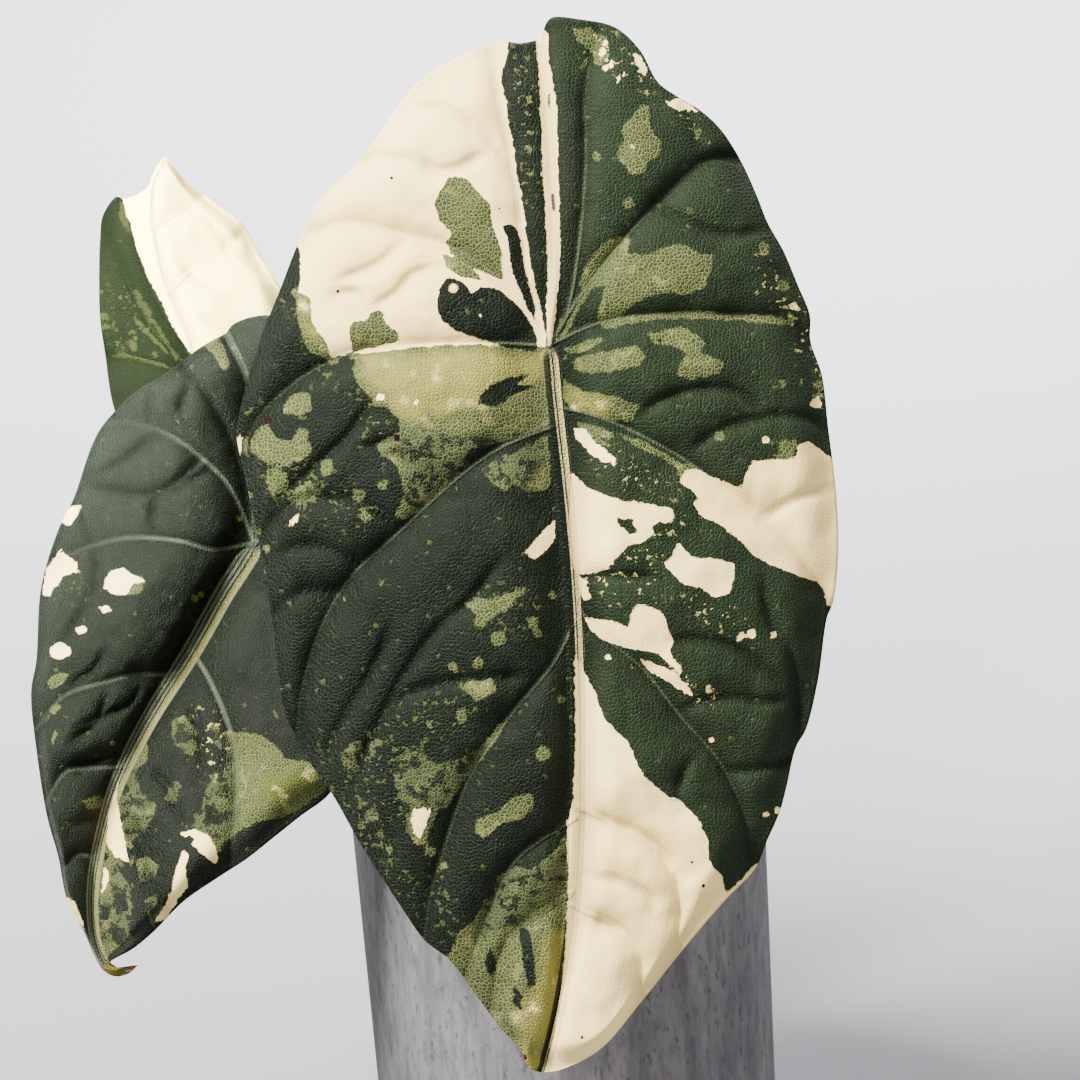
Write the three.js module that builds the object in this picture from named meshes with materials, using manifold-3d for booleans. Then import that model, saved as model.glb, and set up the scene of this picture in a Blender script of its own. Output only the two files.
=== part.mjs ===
// A potted variegated maharani alocasia: a round pot filled with potting mix, a short crown, and
// three peltate leaves, each a quilted blade held by its own round stalk.
// Millimetres, +Z up, origin at the centre of the pot's underside. The front faces -Y.

import * as THREE from 'three';
import { mergeVertices } from 'three/addons/utils/BufferGeometryUtils.js';
import Module from 'manifold-3d';

const wasm = await Module();
wasm.setup();

const { degToRad, lerp, smoothstep } = THREE.MathUtils;

// Room left between pieces that touch.
const GAP = 0.3;

// Pot.
const POT_HEIGHT = 122;
const POT_RIM_RADIUS = 57.5;
const POT_FOOT_RADIUS = 55.5;
const POT_WALL = 4.5;
const POT_FLOOR = 6;
const POT_EDGE = 1.4;
const POT_SIDES = 56;

// Potting mix.
const SOIL_LEVEL = 108;
const SOIL_MOUND = 4;
const SOIL_BUMP = 1.1;
const SOIL_RINGS = 8;
const SOIL_SIDES = 32;
const CHIP_COUNT = 30;
const CHIP_LENGTH = 9;

// Crown: the short stem that the stalks clasp.
const CROWN_RADIUS = 11.5;
const CROWN_SUNK = 16;
const CROWN_RISE = 15;
const CROWN_RINGS = 4;
const CROWN_SIDES = 24;

// Stalks, and how deep each one's end sits in its blade before it is cut clear.
const STALK_SIDES = 8;
const STALK_STEPS = 16;
const STALK_SINK = 1.4;

// Blades: the sheet itself, and the ribs under its veins, which sink to little at the margin.
const BLADE_THICKNESS = 1.0;
const MARGIN_THICKNESS = 0.75;
const RIB_HEIGHT = 2.2;
const RIB_HALF_WIDTH = 2.6;
const RIB_TAPER = 0.8;

// Quilting: the share of a panel's height that a vein takes away, and the shares of the way across a
// side at which panels reach their full height and start to sink again, by how much.
const VEIN_CUT = 0.85;
const PANEL_RISEN = 0.3;
const PANEL_SINKS = 0.8;
const PANEL_SINKING = 0.45;

// The blades were measured as seen from the front, from this far away and this far above the horizon,
// with the picture turned by the lean.
const VIEW_DISTANCE = 950;
const VIEW_ELEVATION = 15;
const VIEW_LEAN = 4;

// Where each stalk meets its blade, and how far the eye is from that blade's own plane point.
// Every outline and vein below is in its blade's own plane: x to the right, y up, hub at 0, 0.

const FRONT = {
  name: 'blade_front',
  hub: [5.6, -71.7, 263.6],
  eye: [-2, -48.8, VIEW_DISTANCE],
  rearLine: [[0, 0], [1.2, 12], [1.2, 28], [0.5, 50], [-1, 69], [-1.8, 76.5]],
  midrib: [
    [0, 0], [1.2, -14], [3.5, -34], [5.8, -59], [7, -84], [7.2, -104], [6.8, -129], [4.2, -154],
    [1.5, -169], [-1.8, -181.8],
  ],
  right: {
    margin: [
      [-1.8, 76.5], [-0.5, 80.5], [1, 82], [8, 81.5], [16.8, 79.5], [23, 73.8], [27.5, 65.8],
      [33, 61.8], [38, 58.8], [43, 54.2], [48.2, 46.2], [52.2, 37.5], [55, 30.5], [58.8, 23.8],
      [62.5, 15], [65.5, 7.5], [65.6, 1.2], [68.5, -7.5], [70, -20], [72.2, -38.8], [72.5, -53.8],
      [71.2, -64.5], [69.8, -68], [67.5, -83.8], [64.5, -96], [62, -100.5], [59.5, -111],
      [58, -116.5], [54.5, -124.5], [52, -130.5], [44, -139], [33, -152], [23, -164.5], [13, -176],
      [3, -181.2], [-1.8, -181.8],
    ],
    hubVeins: [
      [[0, 0], [4.2, 6.5], [6.8, 18.8], [9, 38.8], [9.5, 51.2], [9.2, 62], [13, 80.8]],
      [[0, 0], [10.5, 16.2], [23, 31.2], [35.5, 43.2], [41, 47], [48.2, 46.2]],
      [[0, 0], [13, 5.8], [28, 7.8], [48, 7.5], [58, 6.8], [65.6, 1.2]],
    ],
    ribVeins: [
      [[1.4, -15], [13, -18], [28, -25], [41.8, -33.8], [58, -46.2], [71.2, -64.5]],
      [[6.2, -63.8], [13, -72], [23, -80], [33, -92.5], [43, -104.2], [49.2, -117.5], [52, -130.5]],
      [[7.1, -115], [18, -120.8], [30, -128.8], [33, -143], [30.5, -155]],
      [[6, -140], [19.2, -147.5], [23, -153.5], [23, -164.5]],
    ],
  },
  left: {
    margin: [
      [-1.8, 76.5], [-7, 75.5], [-12, 76], [-22, 72.2], [-32, 66.2], [-38.2, 58.8], [-47, 46.2],
      [-57, 36.2], [-62.2, 26.2], [-66.8, 14.5], [-72.5, 0], [-75.5, -10], [-77.8, -22],
      [-76.2, -31], [-74, -41.2], [-71.5, -53.2], [-69, -68.8], [-66.8, -86.8], [-65, -94.2],
      [-61, -102.2], [-54, -112.2], [-47, -124.5], [-37, -140], [-30.8, -148.8], [-24.5, -153.8],
      [-17, -163.8], [-12, -170.5], [-6.6, -176.4], [-5.6, -179.2], [-4.2, -181], [-1.8, -181.8],
    ],
    hubVeins: [
      [[0, 0], [-5.2, 18.8], [-7.2, 36.2], [-10, 51.2], [-12.5, 63.8], [-14.5, 75]],
      [[0, 0], [-7, 11.2], [-13.2, 17.5], [-22, 23.8], [-37, 28.2], [-52, 30.8], [-62.2, 26.2]],
      [[0, 0], [-17, 0.8], [-37, 0], [-50.8, -2.5], [-62, -8.2], [-72, -17.5], [-77, -27.5]],
    ],
    ribVeins: [
      [
        [1.8, -20], [-12, -25.5], [-22, -32.5], [-38.2, -47.5], [-49.5, -58], [-57, -71.2],
        [-61.5, -86.2], [-62.8, -98.5],
      ],
      [
        [6.4, -69.5], [1.8, -78.8], [-9.5, -92.5], [-19.5, -107.5], [-25.8, -125], [-29.5, -137.5],
        [-31, -148.5],
      ],
      [[7.1, -118], [-8.2, -128.8], [-15, -142.5], [-21, -158.5]],
      [[6, -137], [-4.5, -143.8], [-10.8, -150], [-14.5, -167]],
    ],
  },
  rows: { panel: 6, midrib: 32, across: 14 },
  relief: { puff: 4.2, groove: 4.5, midribGroove: 3.5 },
  form: frontForm,
  look: { color: 0x3a4a3c, roughness: 0.5 },
};

const SIDE = {
  name: 'blade_side',
  hub: [-76.6, -9.7, 201.5],
  eye: [77, 0.8, VIEW_DISTANCE + 76],
  rearLine: [[0, 0], [0, 11.6], [-0.8, 27.8], [-1.9, 43.5], [-4.6, 50.2], [-7.8, 56.7]],
  midrib: [
    [0, 0], [-3, -5.1], [-8.1, -13], [-17, -28.9], [-28.6, -47.5], [-36.7, -63.5], [-39.7, -72.4],
    [-42.9, -85.9], [-44, -96.9], [-42.9, -107.7], [-39.5, -114], [-31.6, -113.9],
  ],
  right: {
    margin: [
      [-7.8, 56.7], [-6.2, 58.9], [-1.4, 61], [4.3, 61.6], [12.2, 60.2], [20.3, 53.5],
      [25.7, 38.6], [28.4, 17], [30, -4.6], [29.4, -26.2], [27, -45.1], [24.3, -58.6],
      [20.2, -67.5], [12, -73.9], [4, -80.3], [-2.2, -85.2], [-10.2, -90.4], [-19.4, -96.8],
      [-27.3, -104.8], [-32.8, -109.4], [-39.3, -113.4], [-37.5, -114.5], [-35, -114.9],
      [-31.6, -113.9],
    ],
    hubVeins: [
      [[0, 0], [8.1, 27.8], [14.9, 46.7], [16, 57.8]],
      [[0, 0], [12.2, 6.2], [23, 11.6], [28.8, 13]],
    ],
    ribVeins: [
      [[-5, -8], [9.5, -15.4], [20.3, -31.6], [27.2, -44]],
      [[-17, -28.9], [-11.3, -38.9], [-5.9, -53.5], [-5.1, -65], [-5.7, -78], [-6.4, -90]],
      [[-38.4, -68.5], [-31, -82.9], [-25.6, -93.7], [-22.4, -101.2]],
    ],
  },
  left: {
    margin: [
      [-7.8, 56.7], [-14.3, 53.2], [-24.8, 45.4], [-32.4, 40.8], [-41.3, 31.6], [-44.3, 25.9],
      [-48.9, 12.4], [-53.2, 3.5], [-57.8, -11.9], [-59.1, -31.6], [-60.5, -40.2], [-59.1, -55.6],
      [-56.2, -73.7], [-53.1, -84.9], [-50.9, -95.9], [-46.6, -104.2], [-42.6, -113],
      [-40.8, -115.5], [-37.7, -117], [-34.1, -116.2], [-31.6, -113.9],
    ],
    hubVeins: [
      [[0, 0], [-6.5, 27.8], [-14.9, 42.7], [-20.3, 49]],
      [[0, 0], [-7, 15.4], [-15.4, 23.8], [-24.8, 30], [-35.6, 33], [-40.8, 32.1]],
      [[0, 0], [-11.9, -1.6], [-19.4, 0.5], [-35.1, 1.4], [-50.5, -3], [-56.4, -6]],
    ],
    ribVeins: [
      [[-21.5, -35.5], [-32.4, -35.6], [-41.9, -37.8], [-52, -41.5], [-59.4, -50.5]],
      [[-35, -60.5], [-45.4, -60.8], [-50.5, -61.3], [-54, -65.3], [-56.7, -71]],
      [[-42.7, -85], [-48, -84.5], [-52.1, -88.8]],
    ],
  },
  rows: { panel: 4, midrib: 26, across: 12 },
  relief: { puff: 3.4, groove: 3.6, midribGroove: 3 },
  form: sideForm,
  look: { color: 0x414f42, roughness: 0.5 },
};

const REAR = {
  name: 'blade_rear',
  hub: [-93, 39.3, 237.5],
  eye: [96.6, -45.4, VIEW_DISTANCE + 114],
  rearLine: [[0, 0], [1.5, -9], [3, -18], [4.2, -25.8]],
  midrib: [
    [0, 0], [-1.1, 7.8], [-4.2, 16.2], [-7.8, 24.1], [-10.6, 34.2], [-12.3, 46], [-11.6, 54],
    [-8.1, 62.2],
  ],
  right: {
    margin: [
      [4.2, -25.8], [11.2, -29.1], [21, -25.8], [28, -17.4], [30.8, -6.2], [30.8, 5], [28.6, 14.8],
      [23.5, 26], [18.8, 33.6], [12.9, 43.7], [7.8, 47.6], [-1.1, 54], [-4.2, 57.1], [-8.1, 62.2],
    ],
    hubVeins: [
      [[0, 0], [11.2, -7.6], [19.6, -16], [23.8, -23.2]],
      [[0, 0], [8.4, 9.2], [18.8, 16.8], [26, 21]],
    ],
    ribVeins: [
      [[-7.6, 23.6], [0, 30.8], [8.4, 36.4], [14.3, 41.2]],
      [[-11.8, 42], [-4.2, 46.5], [2.4, 51.6]],
    ],
  },
  left: {
    margin: [
      [4.2, -25.8], [-1.4, -28], [-9.8, -27.2], [-16.8, -20.7], [-22.7, -8.4], [-25.2, 6.7],
      [-26.6, 16.5], [-26.9, 26.6], [-26.6, 39.2], [-25.8, 45.6], [-21.8, 51], [-20.2, 50.1],
      [-13.6, 53.2], [-12, 56.6], [-10.1, 60.2], [-8.1, 62.2],
    ],
    hubVeins: [
      [[0, 0], [-5.6, -9], [-9.8, -17.4], [-11.2, -26.4]],
      [[0, 0], [-8.7, 3.4], [-15.7, 4.8], [-25.2, 6.7]],
      [[0, 0], [-4.8, 6.2], [-12.3, 14.3], [-17.6, 24.6], [-23.2, 37.2], [-25.8, 45.6]],
      [[0, 0], [-1.8, 7.4], [-6.8, 15.1], [-13.7, 29.1], [-17.6, 41.7], [-20.2, 50.1]],
    ],
    ribVeins: [],
  },
  rows: { panel: 2, midrib: 12, across: 9 },
  relief: { puff: 1.8, groove: 3, midribGroove: 1.5 },
  form: rearForm,
  look: { color: 0xe9dfc6, roughness: 0.5 },
};

// The large form of each blade, without its quilting: how far a point stands towards the eye, from its
// place in the plane, its distance from the rib line, and how far across its side it lies.

const FRONT_BOW = 13;
const FRONT_HALF_WIDTH = 75;
const FRONT_SWEEP = 9;
const FRONT_MIDDLE = -45;
const FRONT_HALF_LENGTH = 125;
const FRONT_CURL = 5;

function frontForm(x, y, fromRib, across) {
  const bow = -FRONT_BOW * (fromRib / FRONT_HALF_WIDTH) ** 2;
  const sweep = -FRONT_SWEEP * ((y - FRONT_MIDDLE) / FRONT_HALF_LENGTH) ** 2;
  const curl = -FRONT_CURL * smoothstep(across, 0.78, 1) ** 2;
  return bow + sweep + curl;
}

// The side blade swings its tip forward, lifts its right half in a shallow fold, and rolls its left
// half over a swelling beside the midrib.
const SIDE_SWING = 42;
const SIDE_FOLD = 0.34;
const SIDE_FOLD_EASE = 0.0035;
const SIDE_SWELL = 9;
const SIDE_SWELL_WIDTH = 12;
const SIDE_ROLL = 0.006;
const SIDE_CURL = 4;
const SIDE_REAR_FALL = 0.12;

function sideForm(x, y, fromRib, across) {
  const swing = SIDE_SWING * smoothstep(-y, -10, 190);
  const lift = SIDE_FOLD * fromRib - SIDE_FOLD_EASE * fromRib ** 2;
  const swell = SIDE_SWELL * Math.sin(-fromRib / SIDE_SWELL_WIDTH) - SIDE_ROLL * fromRib ** 2;
  const curl = -SIDE_CURL * smoothstep(across, 0.8, 1) ** 2;
  const fall = -SIDE_REAR_FALL * Math.max(0, y);
  return swing + (fromRib > 0 ? lift : swell) + curl + fall;
}

// The rear blade is folded back sharply on its left.
const REAR_RIGHT_FALL = 0.12;
const REAR_LEFT_FOLD = 0.85;
const REAR_FALL = 0.1;
const REAR_CURL = 2.5;

function rearForm(x, y, fromRib, across) {
  const fold = fromRib > 0 ? -REAR_RIGHT_FALL * fromRib : REAR_LEFT_FOLD * fromRib;
  const fall = -REAR_FALL * Math.max(0, -y);
  const curl = -REAR_CURL * smoothstep(across, 0.75, 1) ** 2;
  return fold + fall + curl;
}

// A smooth curve through plane points.
function curveThrough(points) {
  const placed = points.map(([x, y]) => new THREE.Vector3(x, y, 0));
  const curve = new THREE.CatmullRomCurve3(placed, false, 'centripetal');
  curve.arcLengthDivisions = 400;
  return curve;
}

// How far along a curve, from 0 to 1, its nearest point to a place lies.
function nearestOn(curve, place) {
  let best = 0;
  let least = Infinity;
  for (let i = 0; i <= 600; i += 1) {
    const away = curve.getPointAt(i / 600).distanceTo(place);
    if (away < least) {
      least = away;
      best = i / 600;
    }
  }
  return best;
}

// A vein as a run of short straight stretches, and the distance of a place from it.
function stretches(points, count = 24) {
  return curveThrough(points).getSpacedPoints(count);
}

function distanceFrom(place, line) {
  const stretch = new THREE.Line3();
  const foot = new THREE.Vector3();
  let least = Infinity;
  for (let i = 1; i < line.length; i += 1) {
    stretch.set(line[i - 1], line[i]);
    stretch.closestPointToPoint(place, true, foot);
    least = Math.min(least, foot.distanceTo(place));
  }
  return least;
}

// Rows of plane points over one side of a blade. The first row is the rear line, the last is the tip,
// each main vein is a row, and each row runs from the hub or the midrib out to the margin.
function fanRows(leaf, side, stations) {
  const margin = curveThrough(side.margin);
  const midrib = curveThrough(leaf.midrib);
  const hubRows = leaf.rows.panel * side.hubVeins.length;
  const lastRow = hubRows + leaf.rows.midrib;
  const stationOf = (row) => (row <= hubRows ? 0 : stations[row - hubRows]);

  const guide = (row, points) => {
    const path = curveThrough(points);
    const reach = row === lastRow ? 1 : nearestOn(margin, path.getPoint(1));
    return { row, path, reach: row === 0 ? 0 : reach };
  };
  const guides = [guide(0, leaf.rearLine)];
  side.hubVeins.forEach((vein, i) => guides.push(guide((i + 1) * leaf.rows.panel, vein)));
  for (const vein of side.ribVeins) {
    const start = nearestOn(midrib, new THREE.Vector3(...vein[0], 0));
    const away = stations.map((station) => Math.abs(station - start));
    guides.push(guide(hubRows + away.indexOf(Math.min(...away)), vein));
  }
  const tip = leaf.midrib[leaf.midrib.length - 1];
  guides.push(guide(lastRow, [tip, tip.map((v) => v + 1e-6)]));

  const rows = [];
  for (let row = 0; row <= lastRow; row += 1) {
    const after = Math.max(1, guides.findIndex((g) => g.row >= row));
    const a = guides[after - 1];
    const b = guides[after];
    const blend = (row - a.row) / (b.row - a.row);
    const start = midrib.getPointAt(stationOf(row));
    const end = margin.getPointAt(lerp(a.reach, b.reach, blend));
    const nearTip = smoothstep(stationOf(row), 0.85, 1);
    const line = [];
    for (let col = 0; col <= leaf.rows.across; col += 1) {
      const share = col / leaf.rows.across;
      const place = start.clone().lerp(end, share);
      for (const [g, weight] of [[a, 1 - blend], [b, blend]]) {
        const chord = g.path.getPoint(0).lerp(g.path.getPoint(1), share);
        place.addScaledVector(g.path.getPointAt(share).sub(chord), weight);
      }
      line.push({ place, across: lerp(share, 1, nearTip), onSpine: row === 0 || col === 0 });
    }
    rows.push(line);
  }
  return rows;
}

// Where rows start along the midrib: evenly, with the nearest one moved to each vein's own start.
function midribStations(leaf) {
  const midrib = curveThrough(leaf.midrib);
  const count = leaf.rows.midrib;
  const stations = Array.from({ length: count + 1 }, (_, i) => i / count);
  for (const vein of [...leaf.right.ribVeins, ...leaf.left.ribVeins]) {
    const start = nearestOn(midrib, new THREE.Vector3(...vein[0], 0));
    stations[Math.round(start * count)] = start;
  }
  return stations;
}

// A blade as one closed body. The upper face is the form with its quilting: panels puffed up between
// sunken veins. The underside follows it, with a rib standing out under each main vein.
function bladeGeometry(leaf, spare = 0) {
  const spine = [...stretches(leaf.rearLine).reverse(), ...stretches(leaf.midrib, 60)];
  const veins = [leaf.right, leaf.left].flatMap((side) => [...side.hubVeins, ...side.ribVeins]);
  const lines = veins.map((vein) => stretches(vein));
  const eye = new THREE.Vector3(...leaf.eye);
  const { puff, groove, midribGroove } = leaf.relief;

  const face = ({ place, across, onSpine }, sideSign) => {
    const fromSpine = onSpine ? 0 : distanceFrom(place, spine);
    const fromVeins = lines.map((line) => distanceFrom(place, line));
    let panel = 1 - Math.exp(-fromSpine / midribGroove);
    for (const away of fromVeins) panel *= 1 - VEIN_CUT * Math.exp(-away / groove);
    const sinking = PANEL_SINKING * smoothstep(across, PANEL_SINKS, 1);
    const fade = smoothstep(across, 0, PANEL_RISEN) * (1 - sinking);
    const form = leaf.form(place.x, place.y, sideSign * fromSpine, across);
    const height = form + puff * panel * fade;
    const fromRib = Math.min(fromSpine, ...fromVeins);
    const rib = RIB_HEIGHT * Math.exp(-((fromRib / RIB_HALF_WIDTH) ** 2)) * (1 - RIB_TAPER * across);
    const depth = lerp(BLADE_THICKNESS, MARGIN_THICKNESS, across) + rib;
    return [height + spare, height - depth - spare].map((rise) =>
      place.clone().lerp(eye, rise / eye.z));
  };

  const stations = midribStations(leaf);
  const corners = [];
  const triangle = (a, b, c) => {
    const flat = Math.abs(new THREE.Triangle(a, b, c).getArea()) < 1e-7;
    if (!flat) corners.push(a, b, c);
  };
  for (const [side, sideSign] of [[leaf.right, 1], [leaf.left, -1]]) {
    const rows = fanRows(leaf, side, stations).map((line) => line.map((p) => face(p, sideSign)));
    const turn = leaf.midrib[leaf.midrib.length - 1][1] < 0 ? -sideSign : sideSign;
    const facing = (a, b, c) => (turn > 0 ? triangle(a, b, c) : triangle(c, b, a));
    const last = leaf.rows.across;
    for (let row = 1; row < rows.length; row += 1) {
      for (let col = 1; col <= last; col += 1) {
        const [a, b] = [rows[row - 1][col - 1], rows[row - 1][col]];
        const [d, c] = [rows[row][col - 1], rows[row][col]];
        facing(a[0], b[0], c[0]);
        facing(a[0], c[0], d[0]);
        facing(c[1], b[1], a[1]);
        facing(d[1], c[1], a[1]);
      }
      const [top, under] = rows[row - 1][last];
      const [nextTop, nextUnder] = rows[row][last];
      facing(top, under, nextUnder);
      facing(top, nextUnder, nextTop);
    }
  }
  return mergeVertices(new THREE.BufferGeometry().setFromPoints(corners), 1e-4);
}

function placeBlade(mesh, leaf) {
  mesh.rotation.set(degToRad(90 - VIEW_ELEVATION), 0, degToRad(-VIEW_LEAN));
  mesh.position.set(...leaf.hub);
  return mesh;
}

// A closed mesh in the part's frame as a solid, and a solid as geometry.
function solidOf(mesh) {
  mesh.updateMatrixWorld(true);
  const loose = mesh.geometry.index ? mesh.geometry.toNonIndexed() : mesh.geometry;
  const bare = new THREE.BufferGeometry();
  bare.setAttribute('position', loose.getAttribute('position').clone());
  const merged = mergeVertices(bare.applyMatrix4(mesh.matrixWorld), 1e-3);
  return new wasm.Manifold(new wasm.Mesh({
    numProp: 3,
    vertProperties: merged.getAttribute('position').array,
    triVerts: new Uint32Array(merged.index.array),
  }));
}

function geometryOf(solid) {
  const largest = solid.decompose().sort((a, b) => b.volume() - a.volume())[0];
  const { vertProperties, triVerts } = largest.getMesh();
  const geometry = new THREE.BufferGeometry();
  geometry.setAttribute('position', new THREE.BufferAttribute(new Float32Array(vertProperties), 3));
  geometry.setIndex([...triVerts]);
  return geometry;
}

// A solid of revolution about the upright axis, from (radius, height) points.
function turned(profile, sides) {
  const geometry = new THREE.LatheGeometry(profile.map(([r, z]) => new THREE.Vector2(r, z)), sides);
  return geometry.rotateX(Math.PI / 2);
}

// Pot: one thrown wall with softened edges, narrowing a little to its foot, with no hole in the floor.
const potRadiusAt = (height) => lerp(POT_FOOT_RADIUS, POT_RIM_RADIUS, height / POT_HEIGHT);

function potGeometry() {
  const soft = POT_EDGE * 0.3;
  const inside = (height) => potRadiusAt(height) - POT_WALL;
  return turned([
    [0, 0],
    [POT_FOOT_RADIUS - POT_EDGE, 0],
    [POT_FOOT_RADIUS - soft, soft],
    [POT_FOOT_RADIUS, POT_EDGE],
    [POT_RIM_RADIUS, POT_HEIGHT - POT_EDGE],
    [POT_RIM_RADIUS - soft, POT_HEIGHT - soft],
    [POT_RIM_RADIUS - POT_EDGE, POT_HEIGHT],
    [inside(POT_HEIGHT) + POT_EDGE, POT_HEIGHT],
    [inside(POT_HEIGHT) + soft, POT_HEIGHT - soft],
    [inside(POT_HEIGHT), POT_HEIGHT - POT_EDGE],
    [inside(POT_FLOOR), POT_FLOOR + 2],
    [inside(POT_FLOOR) - 2, POT_FLOOR],
    [0, POT_FLOOR],
  ], POT_SIDES);
}

// Crown: the sunk foot, then old leaf scars as rings, closing in a blunt top.
function crownGeometry(spare = 0) {
  const base = SOIL_LEVEL + SOIL_MOUND;
  const rings = [];
  for (let ring = 0; ring < CROWN_RINGS; ring += 1) {
    const low = base + 1 + (ring * (CROWN_RISE - 4)) / CROWN_RINGS;
    const radius = CROWN_RADIUS - ring * 0.8;
    rings.push([radius + spare, low], [radius - 1 + spare, low + 1.6]);
  }
  return turned([
    [0, base - CROWN_SUNK - spare],
    [CROWN_RADIUS - 3 + spare, base - CROWN_SUNK - spare],
    [CROWN_RADIUS + spare, base - CROWN_SUNK + 5],
    ...rings,
    [CROWN_RADIUS - 5 + spare, base + CROWN_RISE - 1 + spare],
    [0, base + CROWN_RISE + spare],
  ], CROWN_SIDES);
}

// Stalks: round, tapering from the clasping foot to the blade, where each meets the underside.
const STALKS = [
  {
    name: 'petiole_front',
    blade: FRONT,
    footRadius: 4.3,
    topRadius: 2.7,
    route: [
      [4.5, -3, 116], [5, -6, 132], [5, -15, 165], [5.5, -32, 215], [6, -50, 249], [5.9, -61, 259.5],
    ],
  },
  {
    name: 'petiole_side',
    blade: SIDE,
    footRadius: 3.8,
    topRadius: 2.4,
    route: [
      [-5.5, -1.5, 116], [-9, 0, 130], [-22, 3, 155], [-44, 4, 181], [-64, 3, 195], [-73, -1, 199.5],
    ],
  },
  {
    name: 'petiole_rear',
    blade: REAR,
    footRadius: 3.3,
    topRadius: 2,
    route: [
      [-2.5, 6.5, 116], [-5, 10, 130], [-22, 22, 162], [-50, 37, 199], [-77, 47, 225],
      [-88, 46.5, 233.5],
    ],
  },
];

// The point inside a blade, on the line of sight through its hub, where its stalk ends.
function stalkEnd(leaf, depth) {
  const turn = new THREE.Euler(degToRad(90 - VIEW_ELEVATION), 0, degToRad(-VIEW_LEAN));
  const inward = new THREE.Vector3(...leaf.eye).normalize().applyEuler(turn);
  return new THREE.Vector3(...leaf.hub).addScaledVector(inward, -depth);
}

function stalkGeometry(stalk, spare = 0) {
  const placed = stalk.route.map((p) => new THREE.Vector3(...p));
  placed.push(stalkEnd(stalk.blade, STALK_SINK));
  const curve = new THREE.CatmullRomCurve3(placed, false, 'centripetal');
  const { normals, binormals } = curve.computeFrenetFrames(STALK_STEPS);
  const rings = [];
  for (let step = 0; step <= STALK_STEPS; step += 1) {
    const along = step / STALK_STEPS;
    const sheath = 1 - smoothstep(along, 0, 0.28);
    const radius = lerp(stalk.topRadius, stalk.footRadius, Math.max(sheath, 0.45 * (1 - along))) + spare;
    const centre = curve.getPointAt(along);
    rings.push(Array.from({ length: STALK_SIDES }, (_, side) => {
      const angle = (side / STALK_SIDES) * 2 * Math.PI;
      return centre.clone()
        .addScaledVector(normals[step], radius * Math.cos(angle))
        .addScaledVector(binormals[step], radius * Math.sin(angle));
    }));
  }
  const corners = [];
  for (let side = 0; side < STALK_SIDES; side += 1) {
    const next = (side + 1) % STALK_SIDES;
    for (let step = 1; step <= STALK_STEPS; step += 1) {
      const [low, high] = [rings[step - 1], rings[step]];
      corners.push(low[side], low[next], high[next], low[side], high[next], high[side]);
    }
    const [foot, top] = [rings[0], rings[STALK_STEPS]];
    corners.push(curve.getPoint(0), foot[next], foot[side]);
    corners.push(curve.getPoint(1), top[side], top[next]);
  }
  return mergeVertices(new THREE.BufferGeometry().setFromPoints(corners), 1e-4);
}

// Potting mix: fills the pot to below the rim, mounded and lumpy, with bark chips standing out.
function soilGeometry() {
  const low = POT_FLOOR + GAP;
  const wallAt = (height) => potRadiusAt(height) - POT_WALL - GAP;
  const edge = wallAt(SOIL_LEVEL);
  const profile = [[0, low], [wallAt(low) - 2, low], [wallAt(low), low + 2], [edge, SOIL_LEVEL]];
  for (let ring = SOIL_RINGS - 1; ring >= 0; ring -= 1) {
    const out = ring / SOIL_RINGS;
    profile.push([edge * out, SOIL_LEVEL + SOIL_MOUND * (1 - out ** 2)]);
  }
  const geometry = turned(profile, SOIL_SIDES);
  const places = geometry.getAttribute('position');
  for (let i = 0; i < places.count; i += 1) {
    const [x, y, z] = [places.getX(i), places.getY(i), places.getZ(i)];
    const lump = Math.sin(0.31 * x + 1.3) * Math.sin(0.27 * y) + 0.6 * Math.sin(0.71 * x - 0.63 * y);
    if (z > SOIL_LEVEL - 1) places.setZ(i, z + SOIL_BUMP * lump);
  }
  return geometry;
}

function chipMeshes() {
  let seed = 11;
  const random = () => {
    seed = (seed * 16807) % 2147483647;
    return seed / 2147483647;
  };
  return Array.from({ length: CHIP_COUNT }, (_, i) => {
    const out = lerp(CROWN_RADIUS + 8, POT_FOOT_RADIUS - POT_WALL - 8, random());
    const angle = i * 2.4;
    const size = CHIP_LENGTH * lerp(0.6, 1, random());
    const chip = new THREE.Mesh(new THREE.BoxGeometry(size, size * 0.6, size * 0.45));
    chip.position.set(out * Math.cos(angle), out * Math.sin(angle), SOIL_LEVEL + 2);
    chip.rotation.set(random() * 0.8, random() * 0.8, random() * Math.PI);
    return chip;
  });
}

const part = new THREE.Group();

function add(name, geometry, look) {
  const mesh = new THREE.Mesh(geometry, new THREE.MeshStandardMaterial(look));
  mesh.name = name;
  part.add(mesh);
  return mesh;
}

add('pot', potGeometry(), { color: 0x8f8c8e, roughness: 0.85 });

for (const leaf of [FRONT, SIDE, REAR]) {
  const blade = add(leaf.name, bladeGeometry(leaf), leaf.look);
  placeBlade(blade, leaf);
}

// Each stalk is cut clear of its blade, and the crown clear of the stalks.
const stalkRoom = [];
for (const stalk of STALKS) {
  const room = placeBlade(new THREE.Mesh(bladeGeometry(stalk.blade, GAP)), stalk.blade);
  const solid = solidOf(new THREE.Mesh(stalkGeometry(stalk))).subtract(solidOf(room));
  add(stalk.name, geometryOf(solid), { color: 0x8c9a6b, roughness: 0.55 });
  stalkRoom.push(solidOf(new THREE.Mesh(stalkGeometry(stalk, GAP))));
}

let crown = solidOf(new THREE.Mesh(crownGeometry()));
for (const room of stalkRoom) crown = crown.subtract(room);
add('crown', geometryOf(crown), { color: 0x6f6a48, roughness: 0.7 });

let mix = solidOf(new THREE.Mesh(soilGeometry()));
for (const chip of chipMeshes()) mix = mix.add(solidOf(chip));
mix = mix.subtract(solidOf(new THREE.Mesh(crownGeometry(GAP))));
add('soil', geometryOf(mix), { color: 0x4a382b, roughness: 0.95 });

export default part;
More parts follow.
